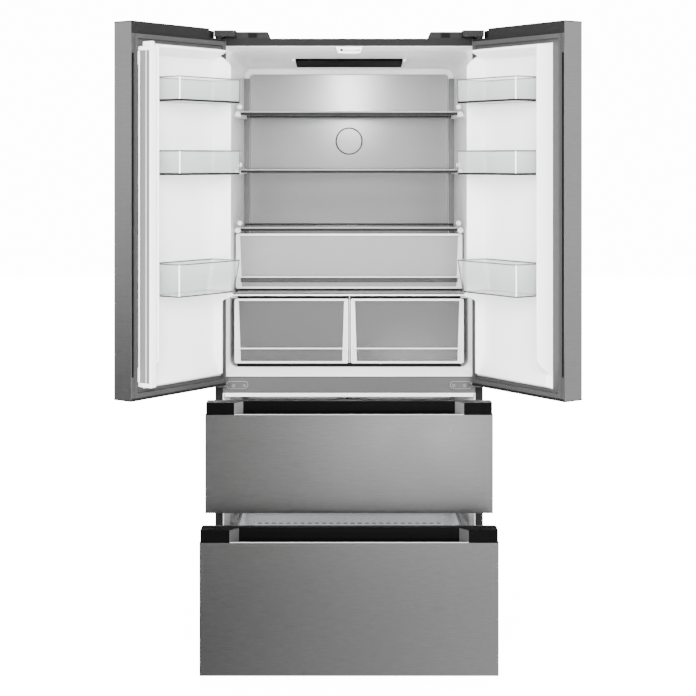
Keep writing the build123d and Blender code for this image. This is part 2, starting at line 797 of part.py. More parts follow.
with BuildPart() as fan_blade:
    rod(facing(fan_y), (0, fan_centre_z), hub_radius, hub_length)
    blade_length = fan_radius - hub_radius + 2
    with BuildSketch(facing(fan_y - 2)) as vanes:
        with Locations((0, fan_centre_z)):
            with PolarLocations(fan_radius - blade_length / 2, 5):
                Rectangle(blade_length, 24)
    extrude(vanes.sketch, amount=3)
    rod(facing(fan_y + 1), (0, fan_centre_z), spindle_radius + running_clearance, hub_length + 2, Mode.SUBTRACT)
save(fan_blade, "fan_blade")


# ---------------------------------------------------------------- doors
cap_split = door_top - top_cap_height
foot_split = door_bottom + bottom_cap_height
lid = 3.0
stop_length = (15.0, 50.0)
stop_y = (-68.0, -43.0)
stop_height = 5.5
inside = door_skin_sheet
door_corner = 3.0


def door(prefix, side, place):
    """One fridge door, drawn shut from its hinge edge inwards and swung open."""

    def across(a, b):
        return ordered(from_side(side, a), from_side(side, b))

    def out(reach):
        return door_inner + reach

    def cut_notch():
        notch_y = (door_inner - notch_reach, door_inner + 1)
        slab(across(-1, notch_length), notch_y, (notch_floor, door_top + 1), place, Mode.SUBTRACT)

    def cut_grip():
        slab(across(*grip_slot), (out(-grip_slot_depth), out(1)), grip_slot_z, place, Mode.SUBTRACT)

    pin_x, pin_y, _ = hinge_pin(side)
    full_y = (door_outer, door_inner)
    skin_z = (door_bottom + lid, door_top - lid)
    with BuildPart() as skin:
        with BuildSketch(level(skin_z[0], place)) as plan:
            with Locations((from_side(side, door_width / 2), (door_outer + door_inner) / 2)):
                Rectangle(door_width, door_thickness)
            fillet(plan.vertices().group_by(Axis.Y)[0], door_corner)
        extrude(plan.sketch, amount=skin_z[1] - skin_z[0])
        hollow_x = across(inside, door_width - inside)
        hollow_z = (skin_z[0] - 1, skin_z[1] + 1)
        slab(hollow_x, (door_outer + inside, out(1)), hollow_z, place, Mode.SUBTRACT)
        cut_notch()
    save(skin, f"{prefix}_skin")

    with BuildPart() as caps:
        fill = across(inside, door_width - inside)
        fill_y = (door_outer + inside, door_inner)
        slab(fill, fill_y, (cap_split, door_top), place)
        slab(across(0, door_width), full_y, (door_top - lid, door_top), place)
        slab(fill, fill_y, (door_bottom, foot_split), place)
        slab(across(0, door_width), full_y, (door_bottom, door_bottom + lid), place)
        slab(across(*stop_length), stop_y, (door_bottom - stop_height, door_bottom), place)
        cut_notch()
        bore_radius = pin_radius + running_clearance
        rod(level(cap_split - 1, place), (pin_x, pin_y), bore_radius, 40, Mode.SUBTRACT)
        rod(level(door_bottom - 1, place), (pin_x, pin_y), bore_radius, 20, Mode.SUBTRACT)
    save(caps, f"{prefix}_caps")

    core_gap = 0.2
    core_y = (door_outer + inside + core_gap, out(-door_liner_sheet - core_gap))
    core_foot = foot_split + core_gap
    core_head = cap_split - core_gap
    edge_x = across(grip_slot[0], door_width - inside - core_gap)
    with BuildPart() as core:
        slab(across(inside + core_gap, grip_slot[0] - core_gap), core_y, (core_foot, core_head), place)
        slab(edge_x, (core_y[0], out(-grip_slot_depth) - core_gap), (core_foot, core_head), place)
        slab(edge_x, (out(-grip_slot_depth), core_y[1]), (core_foot, grip_slot_z[0]), place)
        slab(edge_x, (out(-grip_slot_depth), core_y[1]), (grip_slot_z[1], core_head), place)
        rim_x = across(grip_slot[1], door_width - inside - core_gap)
        rim_z = (grip_slot_z[0] + core_gap, grip_slot_z[1] - core_gap)
        slab(rim_x, (out(-grip_slot_depth), core_y[1]), rim_z, place)
        rod(level(cap_split - 30, place), (pin_x, pin_y), pin_radius + 2, 40, Mode.SUBTRACT)
        rod(level(foot_split, place), (pin_x, pin_y), pin_radius + 2, 20, Mode.SUBTRACT)
    save(core, f"{prefix}_core")

    window = across(frame_border, dyke_free_edge)
    window_z = (foot_split + frame_border, cap_split - frame_border)
    frame_y = (out(-door_liner_sheet), door_inner)
    with BuildPart() as frame:
        slab(fill, frame_y, (foot_split, cap_split), place)
        slab(window, (out(-door_liner_sheet - 1), out(1)), window_z, place, Mode.SUBTRACT)
        cut_grip()
    save(frame, f"{prefix}_frame")

    top_edge = window_z[1]
    with BuildPart() as liner:
        slab(window, frame_y, window_z, place)
        hinge_foot = frame_border
        crest = hinge_foot + dyke_hinge_rise
        hinge_dyke = [
            (hinge_foot, 0),
            (crest, dyke_height),
            (crest + dyke_crest, dyke_height),
            (crest + dyke_crest + dyke_hinge_fall, 0),
        ]
        free_dyke = [
            (dyke_free_edge, 0),
            (dyke_free_edge, dyke_height),
            (dyke_free_edge - dyke_crest, dyke_height),
            (dyke_free_edge - dyke_crest - dyke_free_fall, 0),
        ]
        hinge_shape = [
            (0, window_z[0]),
            (dyke_low_height, window_z[0] + 8),
            (dyke_low_height, dyke_step_z - 14),
            (dyke_height, dyke_step_z + 4),
            (dyke_height, dyke_shoulder_z - 26),
            (0.55 * dyke_height, dyke_shoulder_z),
            (0, top_edge - 8),
        ]
        free_shape = [
            (0, window_z[0] + 30),
            (dyke_height, window_z[0] + 88),
            (dyke_height, top_edge - 6),
            (0, top_edge),
        ]
        for outline, shape in ((hinge_dyke, hinge_shape), (free_dyke, free_shape)):
            points = [(from_side(side, u), out(reach)) for u, reach in outline]
            with BuildPart(mode=Mode.PRIVATE) as wedge:
                prism(level(window_z[0], place), points, window_z[1] - window_z[0])
                silhouette = [(out(reach), z) for reach, z in shape]
                wide = across(0, door_width)
                prism(sideways(wide[0], place), silhouette, door_width, Mode.INTERSECT)
            add(wedge.part)
        head_x = across(crest + 6, dyke_free_edge - 2)
        head_points = [
            (out(0), top_edge),
            (out(dyke_height - 8), top_edge - 6),
            (out(dyke_height - 8), top_edge - 10),
            (out(0), top_edge - 34),
        ]
        prism(sideways(head_x[0], place), head_points, head_x[1] - head_x[0])
        foot_points = [
            (out(0), window_z[0]),
            (out(16), window_z[0] + 5),
            (out(0), window_z[0] + 78),
        ]
        foot_x = across(hinge_foot + 4, dyke_free_edge - 2)
        prism(sideways(foot_x[0], place), foot_points, foot_x[1] - foot_x[0])
    save(liner, f"{prefix}_liner")

    seal_y = (door_inner, -seal_clearance)
    with BuildPart() as gasket:
        seal_z = (gasket_foot, gasket_head)
        slab(across(gasket_hinge_edge, gasket_free_edge), seal_y, seal_z, place)
        hole_x = across(gasket_hinge_edge + 9, gasket_free_edge - gasket_free_width)
        hole_z = (gasket_foot + gasket_width, gasket_head - gasket_width)
        slab(hole_x, (seal_y[0] - 1, seal_y[1] + 1), hole_z, place, Mode.SUBTRACT)
    save(gasket, f"{prefix}_gasket")

    bin_y = (out(bin_gap), out(bin_reach))
    with BuildPart() as bins:
        for bottom in small_bin_bottoms:
            slab(across(bin_start, bin_end), bin_y, (bottom, bottom + small_bin_height), place)
            hole_x = across(bin_start + bin_wall, bin_end - bin_wall)
            hole_y = (bin_y[0] + bin_wall, bin_y[1] - bin_wall)
            slab(hole_x, hole_y, (bottom + bin_wall, bottom + small_bin_height + 1), place, Mode.SUBTRACT)
        for inset, mode in ((0, Mode.ADD), (bin_wall, Mode.SUBTRACT)):
            top = lower_bin_bottom + lower_bin_height + inset
            lower_points = [
                (from_side(side, bin_start + inset), top),
                (from_side(side, bin_end - inset), top),
                (from_side(side, bin_end - 2 - inset), lower_bin_bottom + inset),
                (from_side(side, bin_start + lower_bin_slant + inset), lower_bin_bottom + inset),
            ]
            depth = bin_y[1] - bin_y[0] - 2 * inset
            prism(facing(bin_y[1] - inset, place), lower_points, depth, mode)
    save(bins, f"{prefix}_bins")


door("left_door", -1, left_open)
door("right_door", 1, right_open)

# ---------------------------------------------------------------- flip mullion
mullion_axis = (mullion_axis_x, mullion_axis_y, 0)
to_axis = Location((-mullion_axis_x, -mullion_axis_y, 0))
folded = left_open * Location(mullion_axis) * Location((0, 0, 0), (0, 0, 90)) * to_axis
half_mullion = mullion_width / 2
sheet_x = (-mullion_plate_width / 2, mullion_plate_width / 2)
sheet_y = (0, mullion_plate_sheet)
sheet_z = (mullion_bottom + 4, mullion_top - 4)
bracket_height = 9.1
bracket_gap = 0.5
knuckle_z = ((866.0, 886.0), (1780.0, 1800.0))
mullion_pin = 1.5
with BuildPart() as flip_mullion:
    mullion_y = (0, mullion_depth)
    slab((-half_mullion, half_mullion), mullion_y, (mullion_bottom, mullion_top), folded)
    slab(sheet_x, sheet_y, sheet_z, folded, Mode.SUBTRACT)
    slab(nose_x, nose_y, (mullion_top, mullion_top + mullion_nose_height), folded)
    for low, high in knuckle_z:
        centre = (mullion_axis_x, mullion_axis_y)
        rod(level(low, folded), centre, knuckle_radius, high - low)
        web_x = (mullion_axis_x - knuckle_radius, mullion_axis_x + knuckle_radius)
        slab(web_x, (mullion_axis_y, 0.5), (low, high), folded)
        rod(level(low - bracket_height, folded), centre, mullion_pin, high - low + 2 * bracket_height)
save(flip_mullion, "flip_mullion")

with BuildPart() as mullion_plate:
    slab(sheet_x, sheet_y, sheet_z, folded)
save(mullion_plate, "mullion_plate")

with BuildPart() as mullion_brackets:
    for low, high in knuckle_z:
        for foot in (low - bracket_gap - bracket_height, high + bracket_gap):
            ear_x = (mullion_axis_x - 3, mullion_axis_x + knuckle_radius)
            ear_y = (door_inner, mullion_axis_y + knuckle_radius)
            slab(ear_x, ear_y, (foot, foot + bracket_height), left_open)
            bore = mullion_pin + running_clearance
            centre = (mullion_axis_x, mullion_axis_y)
            rod(level(foot - 1, left_open), centre, bore, bracket_height + 2, Mode.SUBTRACT)
save(mullion_brackets, "mullion_brackets")


# ---------------------------------------------------------------- freezer drawers
trim_seat = grip_drop + 5.0
bar_thickness = 19.4
core_gap = 0.2
tray_wall_x = basket_half_width - 6.0
carrier_x = rail_face - rail_depth - 0.7
inner_depth = inner_face - carrier_x + 3


def drawer(prefix, steel_bottom, steel_top, seal_z, basket_z, rail_level, slotted, place):
    """One pull-out drawer with its front, basket and inner rails."""
    inside_x = half_width - door_skin_sheet
    front_inside = door_outer + door_skin_sheet
    with BuildPart() as front:
        with BuildSketch(level(steel_bottom, place)) as plan:
            with Locations((0, (door_outer + door_inner) / 2)):
                Rectangle(cabinet_width, door_thickness)
            fillet(plan.vertices().group_by(Axis.Y)[0], door_corner)
        extrude(plan.sketch, amount=steel_top - steel_bottom)
        hollow_z = (steel_bottom + door_skin_sheet, steel_top + 1)
        slab((-inside_x, inside_x), (front_inside, door_inner + 1), hollow_z, place, Mode.SUBTRACT)
    save(front, f"{prefix}_front")

    top = steel_top + drawer_trim_height
    trim_y = (door_outer, door_inner - bar_thickness - core_gap)
    with BuildPart() as trim:
        trim_x = half_width - trim_inset
        slab((-trim_x, trim_x), trim_y, (steel_top, top), place)
        seat_x = inside_x - 0.2
        seat_y = (front_inside + 0.2, trim_y[1])
        slab((-seat_x, seat_x), seat_y, (steel_top - trim_seat, steel_top), place)
        pocket = [
            (grip_half_width, door_outer),
            (grip_half_width - grip_slant, door_outer + grip_depth),
            (grip_slant - grip_half_width, door_outer + grip_depth),
            (-grip_half_width, door_outer),
        ]
        pocket_height = drawer_trim_height + grip_drop + 1
        prism(level(steel_top - grip_drop, place), pocket, pocket_height, Mode.SUBTRACT)
    save(trim, f"{prefix}_trim")

    with BuildPart() as core:
        core_x = (-inside_x + core_gap, inside_x - core_gap)
        core_top = steel_top - trim_seat - core_gap
        core_y = (front_inside + core_gap, door_inner)
        slab(core_x, core_y, (steel_bottom + door_skin_sheet, core_top), place)
        bar_z = (core_top + core_gap, top - 3)
        slab(core_x, (door_inner - bar_thickness, door_inner), bar_z, place)
    save(core, f"{prefix}_core")

    seal_y = (door_inner, -seal_clearance)
    with BuildPart() as gasket:
        seal_x = half_width - 6
        slab((-seal_x, seal_x), seal_y, seal_z, place)
        hole_x = seal_x - gasket_width
        hole_z = (seal_z[0] + gasket_width, seal_z[1] - gasket_width)
        slab((-hole_x, hole_x), (seal_y[0] - 1, seal_y[1] + 1), hole_z, place, Mode.SUBTRACT)
    save(gasket, f"{prefix}_gasket")

    ledge_z = rail_level + inner_half_height
    basket_y = (basket_front, basket_front + basket_length)
    with BuildPart() as basket:
        slab((-tray_wall_x, tray_wall_x), basket_y, basket_z, place)
        rim_z = (basket_z[1] - basket_rim, basket_z[1])
        slab((-basket_half_width, basket_half_width), basket_y, rim_z, place)
        ledge_x = carrier_x
        slab((-ledge_x, ledge_x), (basket_y[0] + 10, basket_y[1] - 10), (ledge_z + 2, ledge_z + 5), place)
        hole_x = tray_wall_x - basket_wall
        hole_y = (basket_y[0] + basket_wall, basket_y[1] - basket_wall)
        slab((-hole_x, hole_x), hole_y, (basket_z[0] + basket_wall, basket_z[1] + 1), place, Mode.SUBTRACT)
        if slotted:
            with BuildSketch(facing(basket_y[0], place)) as slots:
                with Locations((0, basket_z[1] - 22)):
                    with GridLocations(16, 10, 36, 1):
                        SlotOverall(11, 5)
            extrude(slots.sketch, amount=-basket_wall - 1, mode=Mode.SUBTRACT)
    save(basket, f"{prefix}_basket")

    with BuildPart() as slides:
        for side in (-1, 1):
            bar_y = (door_inner, rail_y[1] - 20)
            channel(side, inner_face, inner_depth, inner_half_height, rail_level, bar_y, place)
            carrier = ordered(side * carrier_x, side * (tray_wall_x + 1))
            slab(carrier, (door_inner, basket_y[1]), (ledge_z, ledge_z + 2), place)
    save(slides, f"{prefix}_slides")


upper_seal = (upper_drawer_bottom + 1.8, plate_z[0] - 0.5)
lower_seal = (lower_drawer_bottom + 1.2, lower_steel_top + 30.7)
drawer("upper_drawer", upper_drawer_bottom, upper_steel_top, upper_seal, upper_basket_z,
       upper_rail_level, False, upper_out)
drawer("lower_drawer", lower_drawer_bottom, lower_steel_top, lower_seal, lower_basket_z,
       lower_rail_level, True, lower_out)
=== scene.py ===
"""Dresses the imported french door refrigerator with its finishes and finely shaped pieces.

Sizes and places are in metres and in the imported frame's axes: X to the right, Y to the back, Z up.
"""
import json
import logging
from dataclasses import dataclass, field
from enum import Enum
from math import pi, radians
from typing import Callable, Dict, Iterable, List, Optional, Sequence, Tuple, Union

import bmesh
import bpy
from mathutils import Matrix, Vector


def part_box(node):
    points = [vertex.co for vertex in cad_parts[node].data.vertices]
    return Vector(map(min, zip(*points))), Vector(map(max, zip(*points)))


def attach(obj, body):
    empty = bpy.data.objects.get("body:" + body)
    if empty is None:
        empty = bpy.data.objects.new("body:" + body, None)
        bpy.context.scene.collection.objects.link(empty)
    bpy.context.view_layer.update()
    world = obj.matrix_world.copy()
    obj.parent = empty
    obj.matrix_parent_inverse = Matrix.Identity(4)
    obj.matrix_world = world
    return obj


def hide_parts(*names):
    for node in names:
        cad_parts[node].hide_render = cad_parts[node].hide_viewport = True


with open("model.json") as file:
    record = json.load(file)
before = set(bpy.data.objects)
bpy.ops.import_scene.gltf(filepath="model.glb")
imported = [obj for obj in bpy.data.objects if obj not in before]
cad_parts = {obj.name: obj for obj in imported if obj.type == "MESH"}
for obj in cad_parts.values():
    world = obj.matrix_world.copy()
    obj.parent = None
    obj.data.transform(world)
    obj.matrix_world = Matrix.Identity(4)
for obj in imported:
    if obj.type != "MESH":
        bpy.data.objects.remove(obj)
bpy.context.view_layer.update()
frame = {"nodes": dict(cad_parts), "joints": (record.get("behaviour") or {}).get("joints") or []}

log = logging.getLogger("refrigerator")

Triple = Tuple[float, float, float]
Pair = Tuple[float, float]
Corner = Sequence[float]
Tree = bpy.types.NodeTree
Socket = bpy.types.NodeSocket
Verts = List[bmesh.types.BMVert]
Edges = List[bmesh.types.BMEdge]
Element = Union[bmesh.types.BMEdge, bmesh.types.BMFace]

CAMERA_HEIGHT = 1.4936
CAMERA_DISTANCE = 4.75
CAMERA_LENS = 79.04
CAMERA_SHIFT = (-0.0016, -0.2688)
SENSOR_WIDTH = 36.0
VIEW_END = 100.0
FLOOR_SIZE = 30.0
SHELF_TOPS = (1.654, 1.4675, 1.280)
CORNER_STEPS = 6

# Waves per metre of each pattern along X, Y and Z.
LONG_STREAKS = (22.0, 22.0, 520.0)
SHORT_STREAKS = (75.0, 75.0, 900.0)
FINE_SPECKLE = (1400.0, 1400.0, 1400.0)
BROAD_SPECKLE = (160.0, 160.0, 160.0)
SLOW_DRIFT = (3.0, 3.0, 2.0)

NOISE_ROUGHNESS = 0.6
DRIFT_SHADE = (0.965, 0.965, 0.967, 1.0)
COAT_ROUGHNESS = 0.12
RELIEF_DISTANCE = 0.0005
EDGE_BLEND = 0.35


# ---------------------------------------------------------------- shader effects
class Effect(Enum):
    """Names of the shader node groups that several finishes share."""

    GRAIN = "brushed grain"
    MOULDED = "moulded skin"
    DRIFT = "soft drift"


def wire(tree: Tree, source: Socket, target: Socket) -> None:
    """Links one socket to another."""
    tree.links.new(source, target)


def new_group(effect: Effect, outputs: Sequence[str]) -> Tree:
    """Makes an empty node group that takes coordinates.

    Args:
        effect: The group's name.
        outputs: Names of the value sockets that the group puts out.

    Returns:
        The group, with its input and output nodes in place.
    """
    tree = bpy.data.node_groups.new(effect.value, "ShaderNodeTree")
    tree.interface.new_socket(name="Vector", in_out="INPUT", socket_type="NodeSocketVector")
    for name in outputs:
        tree.interface.new_socket(name=name, in_out="OUTPUT", socket_type="NodeSocketFloat")
    tree.nodes.new("NodeGroupInput").name = "in"
    tree.nodes.new("NodeGroupOutput").name = "out"
    return tree


def noise(tree: Tree, vector: Socket, scale: Triple, detail: float) -> Socket:
    """Adds a stretched noise and gives its value socket.

    Args:
        tree: Where the nodes are made.
        vector: Coordinates in metres.
        scale: Waves per metre along each axis.
        detail: Octaves of the noise.

    Returns:
        The noise's value.
    """
    mapping = tree.nodes.new("ShaderNodeMapping")
    mapping.inputs["Scale"].default_value = scale
    wire(tree, vector, mapping.inputs["Vector"])
    texture = tree.nodes.new("ShaderNodeTexNoise")
    texture.inputs["Scale"].default_value = 1.0
    texture.inputs["Detail"].default_value = detail
    texture.inputs["Roughness"].default_value = NOISE_ROUGHNESS
    wire(tree, mapping.outputs["Vector"], texture.inputs["Vector"])
    return texture.outputs["Fac"]


def spread(tree: Tree, value: Socket, low: float, high: float,
           start: float = 0.3, end: float = 0.7) -> Socket:
    """Maps a stretch of a value to a range. Without start and end it maps the middle of a noise.

    Args:
        tree: Where the node is made.
        value: The value.
        low: Result at start.
        high: Result at end.
        start: The value that gives low.
        end: The value that gives high.

    Returns:
        The mapped value.
    """
    node = tree.nodes.new("ShaderNodeMapRange")
    node.inputs["From Min"].default_value = start
    node.inputs["From Max"].default_value = end
    node.inputs["To Min"].default_value = low
    node.inputs["To Max"].default_value = high
    wire(tree, value, node.inputs["Value"])
    return node.outputs["Result"]


def combine(tree: Tree, kind: str, first: Socket, second: Socket) -> Socket:
    """Adds a Math node on two values.

    Args:
        tree: Where the node is made.
        kind: The node's operation.
        first: Its first value.
        second: Its second value.

    Returns:
        Its result.
    """
    node = tree.nodes.new("ShaderNodeMath")
    node.operation = kind
    wire(tree, first, node.inputs[0])
    wire(tree, second, node.inputs[1])
    return node.outputs["Value"]


def grain_group() -> Tree:
    """Builds the level brushing of a steel sheet: short streaks along the floor plane.

    Returns:
        A group that turns coordinates into Streak (0 to 1) and Height.
    """
    tree = new_group(Effect.GRAIN, ("Streak", "Height"))
    vector = tree.nodes["in"].outputs["Vector"]
    long_streaks = noise(tree, vector, LONG_STREAKS, 2.0)
    short_streaks = noise(tree, vector, SHORT_STREAKS, 3.0)
    both = combine(tree, "ADD", long_streaks, short_streaks)
    streak = spread(tree, both, 0.0, 1.0, 0.7, 1.3)
    wire(tree, streak, tree.nodes["out"].inputs["Streak"])
    wire(tree, short_streaks, tree.nodes["out"].inputs["Height"])
    return tree


def moulded_group() -> Tree:
    """Builds the fine orange-peel skin of moulded plastic.

    Returns:
        A group that turns coordinates into Speckle (0 to 1) and Height.
    """
    tree = new_group(Effect.MOULDED, ("Speckle", "Height"))
    vector = tree.nodes["in"].outputs["Vector"]
    fine = noise(tree, vector, FINE_SPECKLE, 2.0)
    broad = noise(tree, vector, BROAD_SPECKLE, 1.0)
    wire(tree, spread(tree, fine, 0.0, 1.0), tree.nodes["out"].inputs["Speckle"])
    wire(tree, combine(tree, "ADD", fine, broad), tree.nodes["out"].inputs["Height"])
    return tree


def drift_group() -> Tree:
    """Builds a slow change over a surface, for colour and roughness.

    Returns:
        A group that turns coordinates into Drift (0 to 1).
    """
    tree = new_group(Effect.DRIFT, ("Drift",))
    vector = tree.nodes["in"].outputs["Vector"]
    slow = noise(tree, vector, SLOW_DRIFT, 2.0)
    wire(tree, spread(tree, slow, 0.0, 1.0), tree.nodes["out"].inputs["Drift"])
    return tree


GROUP_MAKERS: Dict[Effect, Callable[[], Tree]] = {
    Effect.GRAIN: grain_group,
    Effect.MOULDED: moulded_group,
    Effect.DRIFT: drift_group,
}


# ---------------------------------------------------------------- finishes
@dataclass(frozen=True)
class Finish:
    """One surface finish: tone, gloss, how clear it is and the fine pattern on it."""

    name: str
    tone: Triple
    rough: float = 0.4
    metal: float = 0.0
    pattern: Effect = Effect.MOULDED
    contrast: float = 0.06
    rough_change: float = 0.06
    relief: float = 0.02
    coat: float = 0.0
    face_alpha: float = 1.0
    edge_alpha: float = 1.0
    edge_band: Pair = (0.0, 0.9)
    anisotropy: float = 0.0
    shine: float = 0.5

    def build(self) -> bpy.types.Material:
        """Makes the material, or gives the one made before.

        Returns:
            The finished material.
        """
        found = bpy.data.materials.get(self.name)
        if found is not None:
            return found
        material = bpy.data.materials.new(self.name)
        material.use_nodes = True
        tree = material.node_tree
        tree.nodes.clear()
        shader = tree.nodes.new("ShaderNodeBsdfPrincipled")
        output = tree.nodes.new("ShaderNodeOutputMaterial")
        wire(tree, shader.outputs["BSDF"], output.inputs["Surface"])
        shader.inputs["Metallic"].default_value = self.metal
        shader.inputs["Coat Weight"].default_value = self.coat
        shader.inputs["Coat Roughness"].default_value = COAT_ROUGHNESS
        shader.inputs["Anisotropic"].default_value = self.anisotropy
        shader.inputs["Specular IOR Level"].default_value = self.shine
        coordinates = tree.nodes.new("ShaderNodeTexCoord").outputs["Object"]
        fine = self.place_group(tree, self.pattern, coordinates)
        slow = self.place_group(tree, Effect.DRIFT, coordinates)
        mask = fine.outputs[0]
        self.paint(tree, shader, mask, slow.outputs["Drift"])
        self.set_gloss(tree, shader, mask, slow.outputs["Drift"])
        if "Height" in fine.outputs:
            bump = tree.nodes.new("ShaderNodeBump")
            bump.inputs["Strength"].default_value = self.relief
            bump.inputs["Distance"].default_value = RELIEF_DISTANCE
            wire(tree, fine.outputs["Height"], bump.inputs["Height"])
            wire(tree, bump.outputs["Normal"], shader.inputs["Normal"])
        if self.face_alpha < 1.0:
            self.make_clear(tree, shader)
        return material

    def place_group(self, tree: Tree, effect: Effect, coordinates: Socket) -> bpy.types.Node:
        """Places a shared effect in the material.

        Args:
            tree: The material's nodes.
            effect: Which effect.
            coordinates: Object coordinates.

        Returns:
            The group's node.
        """
        node = tree.nodes.new("ShaderNodeGroup")
        node.node_tree = bpy.data.node_groups.get(effect.value) or GROUP_MAKERS[effect]()
        wire(tree, coordinates, node.inputs["Vector"])
        return node

    def paint(self, tree: Tree, shader: bpy.types.Node, mask: Socket, drift: Socket) -> None:
        """Varies the colour by the fine pattern and by the slow drift.

        Args:
            tree: The material's nodes.
            shader: Its Principled shader.
            mask: The fine pattern, 0 to 1.
            drift: The slow drift, 0 to 1.
        """
        fine_mix = tree.nodes.new("ShaderNodeMix")
        fine_mix.data_type = "RGBA"
        fine_mix.inputs["A"].default_value = (*(c * (1 - self.contrast) for c in self.tone), 1.0)
        fine_mix.inputs["B"].default_value = (*(c * (1 + self.contrast) for c in self.tone), 1.0)
        wire(tree, mask, fine_mix.inputs["Factor"])
        slow_mix = tree.nodes.new("ShaderNodeMix")
        slow_mix.data_type = "RGBA"
        slow_mix.blend_type = "MULTIPLY"
        slow_mix.inputs["B"].default_value = DRIFT_SHADE
        wire(tree, fine_mix.outputs["Result"], slow_mix.inputs["A"])
        wire(tree, drift, slow_mix.inputs["Factor"])
        wire(tree, slow_mix.outputs["Result"], shader.inputs["Base Color"])

    def set_gloss(self, tree: Tree, shader: bpy.types.Node, mask: Socket, drift: Socket) -> None:
        """Varies the roughness with both patterns.

        Args:
            tree: The material's nodes.
            shader: Its Principled shader.
            mask: The fine pattern, 0 to 1.
            drift: The slow drift, 0 to 1.
        """
        low = spread(tree, mask, self.rough - self.rough_change, self.rough + self.rough_change, 0.0, 1.0)
        slow = spread(tree, drift, -self.rough_change / 2, self.rough_change / 2, 0.0, 1.0)
        wire(tree, combine(tree, "ADD", low, slow), shader.inputs["Roughness"])

    def make_clear(self, tree: Tree, shader: bpy.types.Node) -> None:
        """Makes the surface see-through, and less so where it is seen edge on.

        Args:
            tree: The material's nodes.
            shader: Its Principled shader.
        """
        facing = tree.nodes.new("ShaderNodeLayerWeight")
        facing.inputs["Blend"].default_value = EDGE_BLEND
        alpha = spread(tree, facing.outputs["Facing"], self.face_alpha, self.edge_alpha, *self.edge_band)
        wire(tree, alpha, shader.inputs["Alpha"])


def grey(level: float) -> Triple:
    """Gives a neutral tone."""
    return (level, level, level)


DOOR_STEEL = Finish("brushed door steel", grey(0.295), 0.33, 1.0, Effect.GRAIN, contrast=0.10,
                    rough_change=0.04, relief=0.045, anisotropy=0.45)
PANEL_STEEL = Finish("brushed back panel", grey(0.34), 0.15, 0.5, Effect.GRAIN, contrast=0.03,
                     rough_change=0.02, relief=0.004)
CABINET_PAINT = Finish("charcoal cabinet paint", grey(0.009), 0.42, contrast=0.08, shine=0.3)
RAIL_PAINT = Finish("grey centre rail", grey(0.125), 0.4, 0.4, Effect.GRAIN, contrast=0.06,
                    rough_change=0.04, relief=0.03)
ZINC = Finish("zinc coated sheet", grey(0.42), 0.45, 0.8, contrast=0.08)
FOAM = Finish("insulation foam", (0.62, 0.52, 0.33), 0.9, contrast=0.12, relief=0.3)
CORE = Finish("grey drawer back", grey(0.04), 0.5, contrast=0.05, shine=0.3)
WHITE_LINER = Finish("white liner", grey(0.83), 0.28, contrast=0.01, relief=0.02, coat=0.15)
WHITE_MOULDING = Finish("white moulding", grey(0.80), 0.32, contrast=0.01, relief=0.02)
CHARCOAL = Finish("charcoal plastic", grey(0.013), 0.45, contrast=0.15, relief=0.06, shine=0.3)
BLACK_TRIM = Finish("black drawer trim", grey(0.001), 0.4, contrast=0.15, relief=0.05, shine=0.07)
CAP_PLASTIC = Finish("black door cap", grey(0.0085), 0.5, contrast=0.15, relief=0.06, shine=0.2)
GRIP_CHEEK = Finish("grey grip cheek", grey(0.075), 0.4, contrast=0.05)
SHADED_CHEEK = Finish("shaded grip cheek", grey(0.034), 0.45, contrast=0.05, shine=0.3)
FRAME_GREY = Finish("grey door frame", grey(0.042), 0.42, contrast=0.05, relief=0.03, shine=0.3)
SEAL = Finish("grey door seal", grey(0.040), 0.6, contrast=0.08, relief=0.04, shine=0.2)
MULLION_GREY = Finish("grey mullion plate", grey(0.17), 0.38, 0.3, contrast=0.04)
RAIL_STEEL = Finish("slide rail steel", grey(0.50), 0.35, 1.0, contrast=0.05)
LAMP_BLACK = Finish("dark lamp lens", grey(0.0015), 0.6, contrast=0.05, shine=0.03)
RUBBER = Finish("black foot rubber", grey(0.02), 0.7, contrast=0.2, relief=0.1)
MOTOR_PAINT = Finish("black motor paint", grey(0.02), 0.5, contrast=0.2, relief=0.08)
FAN_PLASTIC = Finish("pale fan plastic", grey(0.62), 0.5)
SHELF_GLASS = Finish("clear shelf glass", (0.066, 0.075, 0.073), 0.12, contrast=0.01, relief=0.0,
                     face_alpha=0.14, edge_alpha=0.96, edge_band=(0.62, 0.86), shine=0.10)
SHELF_TRIM = Finish("satin shelf trim", grey(0.45), 0.3, 0.6, contrast=0.03)
CLEAR_BIN = Finish("clear bin plastic", (0.44, 0.46, 0.46), 0.12, contrast=0.02, relief=0.03,
                   face_alpha=0.13, edge_alpha=0.55)
CLEAR_BASKET = Finish("clear basket plastic", (0.78, 0.80, 0.81), 0.2, contrast=0.01, relief=0.02,
                      face_alpha=0.30, edge_alpha=0.75)
CLEAR_CRISPER = Finish("clear crisper plastic", grey(0.095), 0.15, contrast=0.02, relief=0.03,
                       face_alpha=0.60, edge_alpha=0.8)
WHITE_RIM = Finish("frosted crisper rim", grey(0.78), 0.3, contrast=0.02, face_alpha=0.72, edge_alpha=0.95)
BIN_RIM = Finish("clear bin rim", grey(0.09), 0.15, contrast=0.02, face_alpha=0.50, edge_alpha=0.85,
                 shine=0.3)
# Dark finish painted as the shade under each shelf's front trim and along its back edge.
SHELF_SHADE = Finish("painted shelf edge shade", grey(0.013), 0.35, contrast=0.05, shine=0.2)
COVER_GREY = Finish("grey cover plate", grey(0.070), 0.25, contrast=0.03, shine=0.15)
DARK_STEEL = Finish("blackened hinge steel", grey(0.02), 0.4, 0.3, contrast=0.08)
SCREW_STEEL = Finish("grey screw heads", grey(0.19), 0.35, 0.3, contrast=0.05)
# Pale finish painted as highlights along the hinge plates' tops and the drawers' folded edges.
EDGE_HIGHLIGHT = Finish("painted edge highlight", grey(0.42), 0.35, 0.3, contrast=0.05)
EDGE_SHADE = Finish("shaded panel edge", grey(0.13), 0.5, contrast=0.05, shine=0.2)
